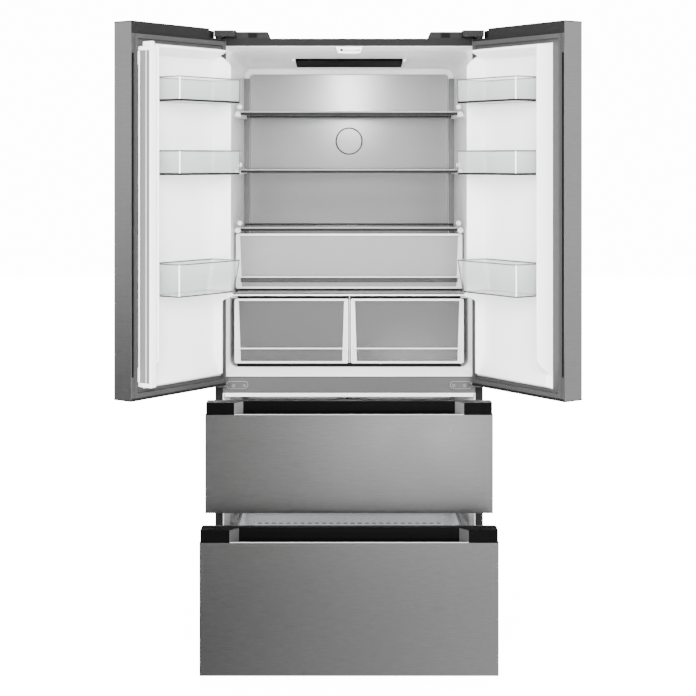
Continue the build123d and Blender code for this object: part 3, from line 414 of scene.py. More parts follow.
RIDGE_SHADE = Finish("shaded ridge", grey(0.06), 0.3, contrast=0.05, face_alpha=0.80, edge_alpha=0.9,
                     shine=0.2)
WIDE_PANEL = Finish("clear wide panel", grey(0.30), 0.12, contrast=0.02, face_alpha=0.55, edge_alpha=0.8)
# Near-black finish for real dark joints and seams, and for sheets painted as shade in gaps, slots and along a
# crisper's foot.
DARK_LINE = Finish("dark joints and painted shade", grey(0.004), 0.4, contrast=0.05, shine=0.15)
FROSTED_KNOB = Finish("frosted shelf rest", grey(0.82), 0.35, contrast=0.03, face_alpha=0.65, edge_alpha=0.9)
BADGE_LINE = Finish("dark badge ring", grey(0.012), 0.4, contrast=0.05, shine=0.2)
STAGE_FLOOR = Finish("pale studio floor", grey(0.86), 0.9, contrast=0.005, relief=0.0)


# ---------------------------------------------------------------- mesh building
def unique(items: Iterable[Element]) -> List[Element]:
    """Gives the items once each, in the order of their first turn, so every run builds alike."""
    return list(dict.fromkeys(items))


class Form:
    """A mesh being built from bmesh operators, in metres."""

    def __init__(self) -> None:
        """Starts with nothing in it."""
        self.mesh = bmesh.new()

    def block(self, low: Corner, high: Corner) -> Verts:
        """Adds a box.

        Args:
            low: Lowest corner.
            high: Highest corner.

        Returns:
            The box's vertices.
        """
        low, high = Vector(low), Vector(high)
        verts = bmesh.ops.create_cube(self.mesh, size=1.0)["verts"]
        bmesh.ops.scale(self.mesh, vec=high - low, verts=verts)
        bmesh.ops.translate(self.mesh, vec=(low + high) / 2, verts=verts)
        return verts

    def outline(self, points: Iterable[Corner], along: Corner) -> Verts:
        """Adds a flat outline pushed out into a solid.

        Args:
            points: Corners of the outline, in order.
            along: How far and which way it is pushed.

        Returns:
            The solid's vertices.
        """
        verts = [self.mesh.verts.new(point) for point in points]
        face = self.mesh.faces.new(verts)
        moved = bmesh.ops.extrude_face_region(self.mesh, geom=[face])["geom"]
        ends = [item for item in moved if isinstance(item, bmesh.types.BMVert)]
        bmesh.ops.translate(self.mesh, vec=along, verts=ends)
        made = verts + ends
        bmesh.ops.recalc_face_normals(self.mesh, faces=unique(f for v in made for f in v.link_faces))
        return made

    def rod(self, centre: Corner, radius: float, length: float, axis: str, segments: int) -> Verts:
        """Adds a round bar about a centre.

        Args:
            centre: Its middle.
            radius: Its radius.
            length: Its length.
            axis: Y or Z.
            segments: Sides round it.

        Returns:
            The bar's vertices.
        """
        turn = {"Y": Matrix.Rotation(pi / 2, 4, "X"), "Z": Matrix.Identity(4)}
        made = bmesh.ops.create_cone(self.mesh, cap_ends=True, segments=segments, radius1=radius,
                                     radius2=radius, depth=length,
                                     matrix=Matrix.Translation(centre) @ turn[axis])
        return made["verts"]

    def ring(self, low: Pair, high: Pair, level: float, radius: float, axis: str = "Z") -> Edges:
        """Adds a closed outline with rounded corners, square to an axis.

        Args:
            low: Lowest corner: X and Y for axis Z, X and Z for axis Y.
            high: Highest corner.
            level: Where it lies along the axis.
            radius: Radius of its corners.
            axis: Y or Z.

        Returns:
            The outline's edges.
        """
        before = set(self.mesh.edges)
        corners = ((low[0], low[1]), (high[0], low[1]), (high[0], high[1]), (low[0], high[1]))
        points = [(one, two, level) if axis == "Z" else (one, level, two) for one, two in corners]
        verts = [self.mesh.verts.new(point) for point in points]
        self.mesh.faces.new(verts)
        bmesh.ops.bevel(self.mesh, geom=verts, offset=radius, offset_type="OFFSET", segments=CORNER_STEPS,
                        profile=0.5, affect="VERTICES", clamp_overlap=True, material=-1)
        edges = [edge for edge in self.mesh.edges if edge not in before]
        faces = unique(face for edge in edges for face in edge.link_faces)
        bmesh.ops.delete(self.mesh, geom=faces, context="FACES_ONLY")
        return edges

    def sleeve(self, rings: Sequence[Edges], looped: bool = False) -> None:
        """Joins outlines one after the other into a closed solid.

        Args:
            rings: The outlines, in order.
            looped: Whether the last joins the first; otherwise both are capped.
        """
        pairs = list(zip(rings, rings[1:])) + ([(rings[-1], rings[0])] if looped else [])
        for first, second in pairs:
            bmesh.ops.bridge_loops(self.mesh, edges=list(first) + list(second))
        if not looped:
            bmesh.ops.edgeloop_fill(self.mesh, edges=rings[0])
            bmesh.ops.edgeloop_fill(self.mesh, edges=rings[-1])
        bmesh.ops.recalc_face_normals(self.mesh, faces=self.mesh.faces[:])

    def frame(self, low: Corner, high: Corner, width: float, radius: float,
              axis: str = "Y", ease: float = 0.0008) -> None:
        """Adds a flat frame with rounded corners and eased edges.

        Args:
            low: Lowest corner.
            high: Highest corner.
            width: Width of its bars.
            radius: Radius of its outer corners.
            axis: The axis it is square to.
            ease: Size of its eased edges.
        """
        part = Form()
        wide, tall, deep = (0, 2, 1) if axis == "Y" else (0, 1, 2)
        rings = []
        crown = ease / 8
        start, end = low[deep], high[deep]
        steps = ((0.0, start + ease), (ease, start), (width - ease, start + crown), (width, start + ease),
                 (width, end - ease), (width - ease, end - crown), (ease, end), (0.0, end - ease))
        for inset, level in steps:
            inner_low = (low[wide] + inset, low[tall] + inset)
            inner_high = (high[wide] - inset, high[tall] - inset)
            rings.append(part.ring(inner_low, inner_high, level, max(radius - inset, 0.0006), axis))
        part.sleeve(rings, looped=True)
        self.absorb(part)

    def tray(self, low: Corner, high: Corner, wall: float, corner: float,
             draws: Sequence[float] = (0.0, 0.0, 0.0, 0.0)) -> None:
        """Adds a rounded tray that is open at its top.

        Args:
            low: Lowest outer corner.
            high: Highest outer corner.
            wall: Thickness of its walls and floor.
            corner: Radius of its upright corners.
            draws: How far the foot draws in at low X, high X, low Y and high Y.
        """
        part = Form()
        left, right, near, far = draws
        toe = min(corner, 0.006)
        height = high[2] - low[2]

        def outline(inset: float, level: float) -> Edges:
            """Gives the tray's outline at a level.

            Args:
                inset: How far it is drawn in evenly.
                level: Its height.

            Returns:
                The outline's edges.
            """
            fall = (high[2] - level) / height
            start = (low[0] + left * fall + inset, low[1] + near * fall + inset)
            end = (high[0] - right * fall - inset, high[1] - far * fall - inset)
            return part.ring(start, end, level, max(corner - inset, 0.001))

        # From under the foot up the outside, over the brim and down to the floor inside.
        rings = [outline(toe, low[2]), outline(toe * 0.3, low[2] + toe * 0.3), outline(0.0, low[2] + toe),
                 outline(0.0, high[2] - wall * 0.3), outline(wall * 0.3, high[2]),
                 outline(wall * 0.7, high[2] - wall * 0.02), outline(wall, high[2] - wall * 0.3),
                 outline(wall, low[2] + wall + toe), outline(wall + toe * 0.3, low[2] + wall + toe * 0.3),
                 outline(wall + toe, low[2] + wall)]
        part.sleeve(rings)
        self.absorb(part)

    def pad(self, low: Corner, high: Corner, ease: float = 0.001, segments: int = 2) -> None:
        """Adds a box with rounded edges.

        Args:
            low: Lowest corner.
            high: Highest corner.
            ease: How far the rounding reaches.
            segments: Steps in it.
        """
        part = Form()
        part.block(low, high)
        part.soften(ease, segments)
        self.absorb(part)

    def bevel(self, edges: Edges, width: float, segments: int = 2) -> None:
        """Rounds edges.

        Args:
            edges: Which edges.
            width: How far the rounding reaches.
            segments: Steps in it.
        """
        bmesh.ops.bevel(self.mesh, geom=edges, offset=width, offset_type="OFFSET", segments=segments,
                        profile=0.5, affect="EDGES", clamp_overlap=True, material=-1)

    def soften(self, width: float, segments: int = 2, angle: float = 30.0) -> None:
        """Rounds every sharp edge.

        Args:
            width: How far the rounding reaches.
            segments: Steps in it.
            angle: The least turn, in degrees, that counts as sharp.
        """
        sharp = [edge for edge in self.mesh.edges
                 if len(edge.link_faces) == 2 and edge.calc_face_angle(0.0) > radians(angle)]
        self.bevel(sharp, width, segments)

    def absorb(self, other: "Form") -> None:
        """Takes in another form's mesh.

        Args:
            other: The form, which is freed.
        """
        scratch = bpy.data.meshes.new("scratch")
        other.mesh.to_mesh(scratch)
        other.mesh.free()
        self.mesh.from_mesh(scratch)
        bpy.data.meshes.remove(scratch)

    def place(self, matrix: Matrix) -> "Form":
        """Moves everything in the form."""
        bmesh.ops.transform(self.mesh, matrix=matrix, verts=self.mesh.verts[:])
        return self


@dataclass
class Piece:
    """A finished object: what it looks like, what it rides on and which nodes it stands for."""

    name: str
    body: str
    slot: str
    finish: Finish
    replaces: Tuple[str, ...] = ()
    smooth_angle: float = 35.0

    def make(self, form: Form) -> bpy.types.Object:
        """Turns a form into the finished object.

        Args:
            form: The mesh, at rest in the shared frame. It is freed.

        Returns:
            The object, riding on its body.
        """
        mesh = bpy.data.meshes.new(self.name)
        form.mesh.to_mesh(mesh)
        form.mesh.free()
        mesh.materials.clear()
        mesh.materials.append(self.finish.build())
        mesh.polygons.foreach_set("use_smooth", [True] * len(mesh.polygons))
        mesh.polygons.foreach_set("material_index", [0] * len(mesh.polygons))
        mesh.set_sharp_from_angle(angle=radians(self.smooth_angle))
        thing = bpy.data.objects.new(self.name, mesh)
        bpy.context.scene.collection.objects.link(thing)
        even = thing.modifiers.new("even shading", "WEIGHTED_NORMAL")
        even.keep_sharp = True
        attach(thing, self.body)
        if self.replaces:
            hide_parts(*self.replaces)
        log.info("piece %s rides on %s (%d faces)", self.name, self.body, len(mesh.polygons))
        return thing


def dress(node: str, finish: Finish) -> None:
    """Gives a CAD node its finish and leaves its shape alone.

    Args:
        node: The node's name.
        finish: Its finish.
    """
    mesh = frame["nodes"][node].data
    mesh.materials.clear()
    mesh.materials.append(finish.build())
    log.info("node %s dressed in %s", node, finish.name)


def rest_matrix(joint_name: str) -> Matrix:
    """Gives the move that carries a shape drawn shut to where it stands at rest.

    Args:
        joint_name: A hinge or slide whose lower limit is the shut place.

    Returns:
        The move, in metres.
    """
    joint = next(j for j in frame["joints"] if j["name"] == joint_name)
    axis = Vector(joint["axis"])
    if joint["type"] == "slide":
        return Matrix.Translation(-joint["range_m"][0] * axis)
    pivot = Matrix.Translation(joint["pos_m"])
    turn = Matrix.Rotation(radians(-joint["range_deg"][0]), 4, axis)
    return pivot @ turn @ pivot.inverted()


def shut_box(node: str, rest: Matrix) -> Tuple[Vector, Vector]:
    """Gives a node's lowest and highest corners with its joint shut.

    Args:
        node: The CAD node.
        rest: The move from shut to rest.

    Returns:
        Both corners.
    """
    back = rest.inverted()
    points = [back @ v.co for v in frame["nodes"][node].data.vertices]
    low = Vector([min(p[i] for p in points) for i in range(3)])
    high = Vector([max(p[i] for p in points) for i in range(3)])
    return low, high


def both_sides(start: float, end: float) -> Tuple[Pair, Pair]:
    """Gives the low and high X of a span on the left and of its mirror on the right."""
    near, far = sorted((start, end))
    return (-far, -near), (near, far)


def ramp(value: float, start: float, end: float) -> float:
    """Gives 0 before start, 1 after end and a smooth step between them."""
    share = min(1.0, max(0.0, (value - start) / (end - start)))
    return share * share * (3.0 - 2.0 * share)


def warp(share: float, stops: Sequence[Pair]) -> float:
    """Turns an even share into a place between uneven stops.

    Args:
        share: 0 to 1.
        stops: Pairs of share and place, in order.

    Returns:
        The place.
    """
    for (start, low), (end, high) in zip(stops, stops[1:]):
        if share <= end:
            return low + (high - low) * (share - start) / (end - start)
    return stops[-1][1]


# ---------------------------------------------------------------- cabinet
@dataclass
class FridgeLiner:
    """The white tub of the fridge, with its shelf ledges and rests.

    A rest disc is given by its rise over the shelf's top, its radius and how far out it sits.
    """

    mouth_half: float = 0.390
    mouth_floor: float = 0.8256
    mouth_ceiling: float = 1.8486
    lip: float = 0.060
    lip_half: float = 0.3755
    floor: float = 0.845
    lip_ceiling: float = 1.8395
    depth: float = 0.500
    back_half: float = 0.3605
    back_ceiling: float = 1.813
    sheet: float = 0.002
    cover_under: float = 1.0688
    ledge_edge: float = 0.349
    ledge_height: float = 0.0098
    ledge_drop: float = 0.0082
    shelf_ledge: Pair = (0.197, 0.4758)
    cover_ledge: Pair = (0.085, 0.486)
    runner_walls: Tuple[Tuple[float, int], ...] = ((-0.3605, 1), (-0.0025, -1), (0.005, 1), (0.3605, -1))
    runner_gap: float = 0.012
    runner_width: float = 0.010
    runner_span: Pair = (0.087, 0.486)
    runner_top: float = 0.8566
    bite: float = 0.001
    rest_across: float = 0.352
    rest_front: float = 0.168
    rest_length: float = 0.012
    rest_discs: Tuple[Triple, ...] = ((0.0135, 0.0080, 0.0), (-0.0100, 0.0090, 0.006))

    def wall(self, y: float) -> float:
        """Gives half the width between the side walls at a depth."""
        return self.lip_half - (self.lip_half - self.back_half) * (y - self.lip) / (self.depth - self.lip)

    def ceiling(self, y: float) -> float:
        """Gives the ceiling's height at a depth."""
        share = (y - self.lip) / (self.depth - self.lip)
        return self.lip_ceiling - (self.lip_ceiling - self.back_ceiling) * share

    def build(self) -> None:
        """Builds the tub with its ledges, and the frosted shelf rests."""
        form = Form()
        self.add_tub(form)
        self.add_ledges(form)
        Piece("fridge_tub", "cabinet", "fridge_liner", WHITE_LINER, ("fridge_liner",), 40.0).make(form)
        self.build_rests()

    def add_tub(self, form: Form) -> None:
        """Adds the rounded tub as rings from the back, out round its mouth and back again.

        Args:
            form: Where it goes.
        """
        def inner(y: float, inset: float, radius: float) -> Edges:
            """Gives an inner outline at a depth behind the lip."""
            half = self.wall(y) - inset
            return form.ring((-half, self.floor + inset), (half, self.ceiling(y) - inset), y, radius, "Y")

        def mouth(y: float, grow: float, share: float) -> Edges:
            """Gives an outline of the splayed lip.

            Args:
                y: Its depth.
                grow: How far it stands out from the lip's face.
                share: 0 at the lip's front and 1 at its back.

            Returns:
                The outline's edges.
            """
            half = self.mouth_half + (self.lip_half - self.mouth_half) * share + grow
            low = self.mouth_floor + (self.floor - self.mouth_floor) * share - grow
            high = self.mouth_ceiling + (self.lip_ceiling - self.mouth_ceiling) * share + grow
            return form.ring((-half, low), (half, high), y, 0.006 + 0.016 * share, "Y")

        back = self.depth
        rings = [inner(back, 0.014, 0.016), inner(back - 0.004, 0.004, 0.024),
                 inner(back - 0.014, 0.0, 0.028), inner(self.lip + 0.004, 0.0, 0.022),
                 mouth(self.lip, 0.0, 1.0), mouth(0.004, 0.0, 0.05), mouth(0.001, 0.0007, 0.0),
                 mouth(0.0, 0.0019, 0.0), mouth(self.lip, self.sheet, 1.0)]
        rings.append(form.ring((-self.back_half - self.sheet, self.floor - self.sheet),
                               (self.back_half + self.sheet, self.back_ceiling + self.sheet),
                               back + self.sheet, 0.022, "Y"))
        form.sleeve(rings)

    def add_ledges(self, form: Form) -> None:
        """Adds the shelf ledges on both walls and the runners under the crispers.

        Args:
            form: Where they go.
        """
        for side in (-1, 1):
            for top in SHELF_TOPS:
                self.add_ledge(form, side, self.shelf_ledge, top - self.ledge_drop)
            self.add_ledge(form, side, self.cover_ledge, self.cover_under)
        (start, end), foot = self.runner_span, self.floor - self.bite / 2
        for wall, inwards in self.runner_walls:
            near = wall + self.runner_gap * inwards
            x = sorted((near, near + self.runner_width * inwards))
            form.pad((x[0], start, foot), (x[1], end, self.runner_top))

    def add_ledge(self, form: Form, side: int, y: Pair, top: float) -> None:
        """Adds one rounded ledge that follows a side wall and bites into it.

        Args:
            form: Where it goes.
            side: -1 on the left, 1 on the right.
            y: From front to back.
            top: Height of its top.
        """
        edge, low = side * self.ledge_edge, top - self.ledge_height
        points = [(edge, y[0], low), (side * (self.wall(y[0]) + self.bite), y[0], low),
                  (side * (self.wall(y[1]) + self.bite), y[1], low), (edge, y[1], low)]
        part = Form()
        part.outline(points, (0, 0, self.ledge_height))
        part.soften(0.002, 3)
        form.absorb(part)

    def build_rests(self) -> None:
        """Builds the frosted round rests above and below each shelf's front corners."""
        form = Form()
        for side in (-1, 1):
            for top in SHELF_TOPS:
                for rise, radius, out in self.rest_discs:
                    part = Form()
                    part.rod((side * (self.rest_across + out), self.rest_front, top + rise), radius,
                             self.rest_length, "Y", 24)
                    part.soften(0.002, 3, 50.0)
                    form.absorb(part)
        Piece("shelf_rests", "cabinet", "fridge_liner", FROSTED_KNOB).make(form)


@dataclass
class Shelves:
    """Three glass shelves with trimmed edges and the cover over the low crispers."""

    half: float = 0.356
    trim_half: float = 0.366
    front: float = 0.175
    back: float = 0.486
    back_trim: float = 0.010
    trim: float = 0.012
    pale_share: float = 0.38
    dark_share: float = 0.36
    dark_inset: float = 0.004
    dark_setback: float = 0.0012
    glass: float = 0.004
    drop: float = 0.004
    cover_sheet: float = 0.008
    cover_front: float = 0.055
    cover_white: float = 0.0050
    cover_inset: Pair = (0.002, 0.0008)
    # Dark sheets painted as shadow in the gaps under the cover and under the low crispers.
    seal_inset: float = 0.004
    top_seal: Pair = (0.022, 0.025)
    top_seal_hang: Pair = (-0.0084, -0.0002)
    foot_seal: Pair = (0.012, 0.016)
    foot_seal_level: Pair = (0.8452, 0.8564)

    def build(self) -> None:
        """Builds the glasses, their trims, the dark strips painted as shade under the trims and along the
        back edges, and the cover.
        """
        glasses, trims, lines = Form(), Form(), Form()
        rear, dark_half = self.back - self.back_trim, self.trim_half - self.dark_inset
        inside = self.front + self.trim
        for top in SHELF_TOPS:
            high, foot = top - self.drop, top - self.trim
            glasses.pad((-self.half, inside, high - self.glass), (self.half, rear, high), 0.0006)
            trims.pad((-self.trim_half, self.front, top - self.trim * self.pale_share),
                      (self.trim_half, inside, top), 0.0018, 3)
            # Dark strips painted as shade at the shelf's back edge and under its front trim.
            lines.pad((-self.half, rear, foot), (self.half, self.back, top), 0.0015)
            lines.pad((-dark_half, self.front + self.dark_setback, foot),
                      (dark_half, inside, top - self.trim * self.dark_share), 0.0012)
        Piece("shelf_panes", "cabinet", "shelf_glass", SHELF_GLASS, ("shelf_glasses",)).make(glasses)
        Piece("shelf_edges", "cabinet", "shelf_trim", SHELF_TRIM, ("shelf_trims",)).make(trims)
        Piece("shelf_edge_shadows", "cabinet", "shelf_trim", SHELF_SHADE).make(lines)
        self.build_cover()

    def build_cover(self) -> None:
        """Builds the grey-topped cover with its white front bar, and dark sheets painted as the shadow in the
        gaps under the cover and under the low crispers.
        """
        low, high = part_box("crisper_cover")
        plate, bar, gaps = Form(), Form(), Form()
        inside, split = low.y + self.trim, low.z + self.cover_white
        across, deep = self.cover_inset
        plate.pad((-self.half, self.cover_front + self.trim, high.z - self.cover_sheet),
                  (self.half, self.back, high.z), 0.0008)
        plate.pad((low.x + across, low.y + deep, split - 0.0004), (high.x - across, inside, high.z), 0.0010)
        bar.pad((low.x, low.y, low.z + 0.0002), (high.x, inside, split), 0.0012, 3)
        Piece("crisper_cover_plate", "cabinet", "crisper_cover", COVER_GREY, ("crisper_cover",)).make(plate)
        Piece("crisper_cover_bar", "cabinet", "crisper_cover", WHITE_MOULDING).make(bar)
        # Dark sheets painted as the gaps' shadow.
        half = self.half - self.seal_inset
        hang = [low.z + level for level in self.top_seal_hang]
        for (near, far), (foot, head) in ((self.top_seal, hang), (self.foot_seal, self.foot_seal_level)):
            gaps.pad((-half, self.cover_front + near, foot), (half, self.cover_front + far, head), 0.0008)
        Piece("crisper_gap_seals", "cabinet", "crisper_cover", DARK_LINE).make(gaps)


@dataclass
class Cabinet:
    """The cabinet's shell, back panel, lamp and everything fixed to it.

    A pair holds the two ends of a span or, where its name says half, half a width and half a height.
    """

    badge_radius: float = 0.0445
    badge_height: float = 1.5615
    badge_wire: float = 0.0022
    lamp_border: float = 0.011
    lamp_fall: float = 0.007
    lamp_level: Pair = (0.0085, 0.0003)
    vent_across: float = 0.260
    vent_rise: float = 0.040
    vent_half: Pair = (0.034, 0.008)
    vent_depth: Pair = (0.0014, 0.0060)
    slats: int = 7
    slat_pitch: float = 0.008
    slat_half: Pair = (0.0008, 0.0036)
    slat_depth: Pair = (0.0003, 0.0018)
    strip_out: Pair = (0.0012, 0.0196)
    strip_depth: Pair = (0.0044, 0.0030)
    strip_ends: Pair = (0.004, 0.014)
    rail_half: float = 0.3915
    rail_low: float = 0.7729
    rail_high: float = 0.8234
    rail_line: float = 0.0021
    plate_across: Pair = (0.3135, 0.3815)
    plate_level: Pair = (0.7822, 0.8088)
    plate_corner: float = 0.0125
    mouth_half: float = 0.3865
    mouth_drop: Pair = (0.0125, 0.0003)
    plug_across: Pair = (0.286, 0.314)
    plug_level: Pair = (1.8765, 1.8905)
    seam_across: Pair = (0.3502, 0.3512)
    seam_level: Pair = (1.8745, 1.8945)

    def build(self) -> None:
        """Dresses the plain nodes and builds the finely shaped ones."""
        plain = {
            "outer_shell": CABINET_PAINT, "rear_panel": ZINC, "compressor_cover": ZINC, "insulation": FOAM,
            "freezer_liner": WHITE_LINER, "cross_rails": RAIL_PAINT, "cooling_panel": PANEL_STEEL,
            "ceiling_lamp": LAMP_BLACK, "mullion_guide": WHITE_MOULDING, "shelf_glasses": SHELF_GLASS,
            "shelf_trims": SHELF_TRIM, "crisper_cover": COVER_GREY, "crisper_divider": WHITE_MOULDING,
            "top_hinges": DARK_STEEL, "hinge_covers": CHARCOAL, "middle_hinges": RAIL_PAINT,
            "hinge_screws": SCREW_STEEL, "base_pan": ZINC, "front_feet": RUBBER, "cabinet_rails": RAIL_STEEL,
            "compressor": MOTOR_PAINT, "duct_cover": WHITE_MOULDING, "fan_motor": MOTOR_PAINT,
            "fan_blade": FAN_PLASTIC, "rear_rollers": FAN_PLASTIC, "upper_middle_rails": RAIL_STEEL,
            "lower_middle_rails": RAIL_STEEL, "fridge_liner": WHITE_LINER,
        }
        for node, finish in plain.items():
            dress(node, finish)
        FridgeLiner().build()
        Shelves().build()
        self.build_badge()
        self.build_lamp_border()
        self.build_vents()
        self.build_panel_edges()
        self.build_rail_lines()
        self.build_guide_slot()
        self.build_hinge_details()

    def build_badge(self) -> None:
        """Builds the thin bare ring on the back panel."""
        low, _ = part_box("cooling_panel")
        form = Form()
        place = Matrix.Translation((self.badge_radius, 0, 0)) @ Matrix.Rotation(pi / 2, 4, "X")
        ring = bmesh.ops.create_circle(form.mesh, segments=8, radius=self.badge_wire, matrix=place)["verts"]
        edges = unique(edge for vert in ring for edge in vert.link_edges)
        bmesh.ops.spin(form.mesh, geom=edges, cent=(0, 0, 0), axis=(0, 0, 1), angle=2 * pi, steps=72,
                       use_merge=True)
        bmesh.ops.recalc_face_normals(form.mesh, faces=form.mesh.faces[:])
        upright = Matrix.Rotation(pi / 2, 4, "X")
        form.place(Matrix.Translation((0, low.y - 0.0002, self.badge_height)) @ upright)
        Piece("back_panel_ring", "cabinet", "steel_panel", BADGE_LINE).make(form)

    def build_lamp_border(self) -> None:
        """Builds the white moulded border round the ceiling lamp, sloped as the ceiling is."""
        low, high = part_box("ceiling_lamp")
        rear = high.y + self.lamp_border
        slope = (high.z - low.z - self.lamp_fall) / (high.y - low.y)
        bottom, top = (high.z - drop for drop in self.lamp_level)
        form = Form()
        for x in both_sides(high.x + 0.0003, high.x + self.lamp_border):
            form.pad((x[0], low.y + 0.002, bottom), (x[1], rear, top), 0.0015)
        form.pad((low.x - 0.0005, high.y + 0.0004, bottom), (high.x + 0.0005, rear, top), 0.0015)
        for vert in form.mesh.verts:
            vert.co.z -= (vert.co.y - low.y) * slope
        Piece("lamp_border", "cabinet", "white_plastic", WHITE_MOULDING).make(form)

    def build_vents(self) -> None:
        """Builds the slatted inserts behind the back panel's air slots."""
        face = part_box("cooling_panel")[0].y
        near, far = (face + depth for depth in self.vent_depth)
        slat_near, slat_far = (face + depth for depth in self.slat_depth)
        (half, tall), (slat, slat_tall) = self.vent_half, self.slat_half
        form = Form()
        for across in (-self.vent_across, self.vent_across):
            for top in SHELF_TOPS:
                middle = top + self.vent_rise
                form.pad((across - half, near, middle - tall), (across + half, far, middle + tall), 0.0006)
                for step in range(self.slats):
                    x = across + self.slat_pitch * (step - (self.slats - 1) / 2)
                    form.pad((x - slat, slat_near, middle - slat_tall),
                             (x + slat, slat_far, middle + slat_tall), 0.0002)
        Piece("air_slot_inserts", "cabinet", "steel_panel", PANEL_STEEL).make(form)

    def build_panel_edges(self) -> None:
        """Builds the shaded strips down both sides of the back panel."""
        low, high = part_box("cooling_panel")
        (near, far), (foot, head) = self.strip_depth, self.strip_ends
        form = Form()
        for x in both_sides(high.x + self.strip_out[0], high.x + self.strip_out[1]):
            form.pad((x[0], low.y - near, low.z + foot), (x[1], low.y - far, high.z - head), 0.0005)
        Piece("panel_edge_strips", "cabinet", "fridge_liner", EDGE_SHADE).make(form)

    def build_rail_lines(self) -> None:
        """Builds the centre rail's dark joints, its hinge plates' outlines with a painted highlight along
        their tops and painted shade along their feet, and the pale lip below it.
        """
        dark, bright, lip = Form(), Form(), Form()
        half = self.rail_half
        for foot in (self.rail_low, self.rail_high - self.rail_line):
            dark.pad((-half, -0.0002, foot), (half, 0.0008, foot + self.rail_line), 0.0002, 1)
        foot, head = self.plate_level
        for x in both_sides(*self.plate_across):
            # A dark frame reaching lower is painted as the shade along each plate's foot; the pale frame
            # raised in front of it is painted as the highlight along its top.
            dark.frame((x[0], -0.00315, foot), (x[1], -0.0024, head), 0.0020, self.plate_corner, ease=0.0001)
            bright.frame((x[0] + 0.0004, -0.0037, foot + 0.0020), (x[1] - 0.0004, -0.0029, head + 0.0004),
                         0.0013, self.plate_corner - 0.0005, ease=0.0001)
        lip.pad((-self.mouth_half, 0.0004, self.rail_low - self.mouth_drop[0]),
                (self.mouth_half, 0.0030, self.rail_low - self.mouth_drop[1]), 0.0010)
        Piece("freezer_mouth_lip", "cabinet", "freezer_liner", WHITE_MOULDING).make(lip)
        Piece("rail_joints_and_plate_shade", "cabinet", "cabinet_paint", DARK_LINE).make(dark)
        Piece("hinge_plate_highlights", "cabinet", "hinge_steel", EDGE_HIGHLIGHT).make(bright)

    def build_guide_slot(self) -> None:
        """Builds the two small dark windows in the mullion guide."""
        low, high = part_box("mullion_guide")
        middle = (low.z + high.z) / 2
        form = Form()
        for start, end, half in ((-0.028, -0.019, 0.0035), (0.028, 0.034, 0.0016)):
            form.pad((start, low.y - 0.0006, middle - half), (end, low.y + 0.001, middle + half), 0.0004)
        Piece("guide_windows", "cabinet", "white_plastic", DARK_LINE).make(form)

    def build_hinge_details(self) -> None:
        """Builds the plugs and seams of the hinge covers."""
        form = Form()
        for plug, seam in zip(both_sides(*self.plug_across), both_sides(*self.seam_across)):
            form.pad((plug[0], 0.0008, self.plug_level[0]), (plug[1], 0.004, self.plug_level[1]), 0.0012)
            form.pad((seam[0], 0.0012, self.seam_level[0]), (seam[1], 0.004, self.seam_level[1]), 0.0003)
        Piece("hinge_cover_plugs", "cabinet", "charcoal_plastic", DARK_LINE).make(form)


# ---------------------------------------------------------------- doors
class Side(Enum):
    """Left or right: its name and the sign of X there, where that door has its hinge."""

    LEFT = ("left", -1)
    RIGHT = ("right", 1)

    @property
    def label(self) -> str:
        """The side's name in node names."""
        return self.value[0]

    @property
    def sign(self) -> int:
        """-1 on the left and 1 on the right."""
        return self.value[1]


@dataclass(frozen=True)
class Swell:
    """A smooth swelling: up over one stretch and down over a later one."""

    rise: Pair
    fall: Pair

    def at(self, place: float) -> float:
        """Gives its share of the full height at a place."""
        return ramp(place, *self.rise) * (1 - ramp(place, *self.fall))


@dataclass(frozen=True)
class LinerRelief:
    """How the moulded door liner stands out.

    Places across are distances in from the hinge edge. Places up are measured from the liner's foot,
    and places down from its head, so they are negative.
    """

    crest: float = 0.058
    low_crest: float = 0.024
    head_crest: float = 0.050
    foot_crest: float = 0.016
    hinge_across: Swell = Swell((0.025, 0.044), (0.047, 0.060))
    free_across: Swell = Swell((0.328, 0.3585), (0.3604, 0.3638))
    head_across: Swell = Swell((0.044, 0.058), (0.3604, 0.3638))
    foot_across: Swell = Swell((0.028, 0.040), (0.352, 0.3638))
    head_down: Swell = Swell((-0.036, -0.011), (-0.007, -0.001))
    foot_up: Swell = Swell((0.0, 0.006), (0.010, 0.080))
    tall_start: Pair = (1.064, 1.090)
    low_start: Pair = (0.0, 0.012)
    low_end: Pair = (1.075, 1.10)
    shoulder: Pair = (-0.060, -0.012)
    shoulder_curve: float = 0.6
    free_start: Pair = (0.024, 0.090)
    free_end: Pair = (-0.008, -0.001)

    def height(self, u: float, z: float, low_z: float, high_z: float) -> float:
        """Gives how far the moulded liner stands out.

        Args:
            u: Distance in from the hinge edge.
            z: Height above the floor.
            low_z: Bottom edge of the liner.
            high_z: Top edge of the liner.

        Returns:
            The reach from the door's inner face.
        """
        up, down = z - low_z, z - high_z
        tall = ramp(z, *self.tall_start) * (1 - ramp(down, *self.shoulder)) ** self.shoulder_curve
        low = ramp(up, *self.low_start) * (1 - ramp(z, *self.low_end))
        free = ramp(up, *self.free_start) * (1 - ramp(down, *self.free_end))
        return max(self.hinge_across.at(u) * (tall * self.crest + low * self.low_crest),
                   self.free_across.at(u) * free * self.crest,
                   self.head_across.at(u) * self.head_down.at(down) * self.head_crest,
                   self.foot_across.at(u) * self.foot_up.at(up) * self.foot_crest)


@dataclass(frozen=True)
class BinShape:
    """One size of door bin, with the dark line round its foot.

    The line's inset is from the sides and from the front, and its level is over the bin's foot.
    """

    feet: Tuple[float, ...]
    height: float
    corner: float
    slant: float
    lean: float
    post_setback: float
    post_foot: float
    line_inset: Pair
    line_level: Pair
    line_width: float
    line_corner: float


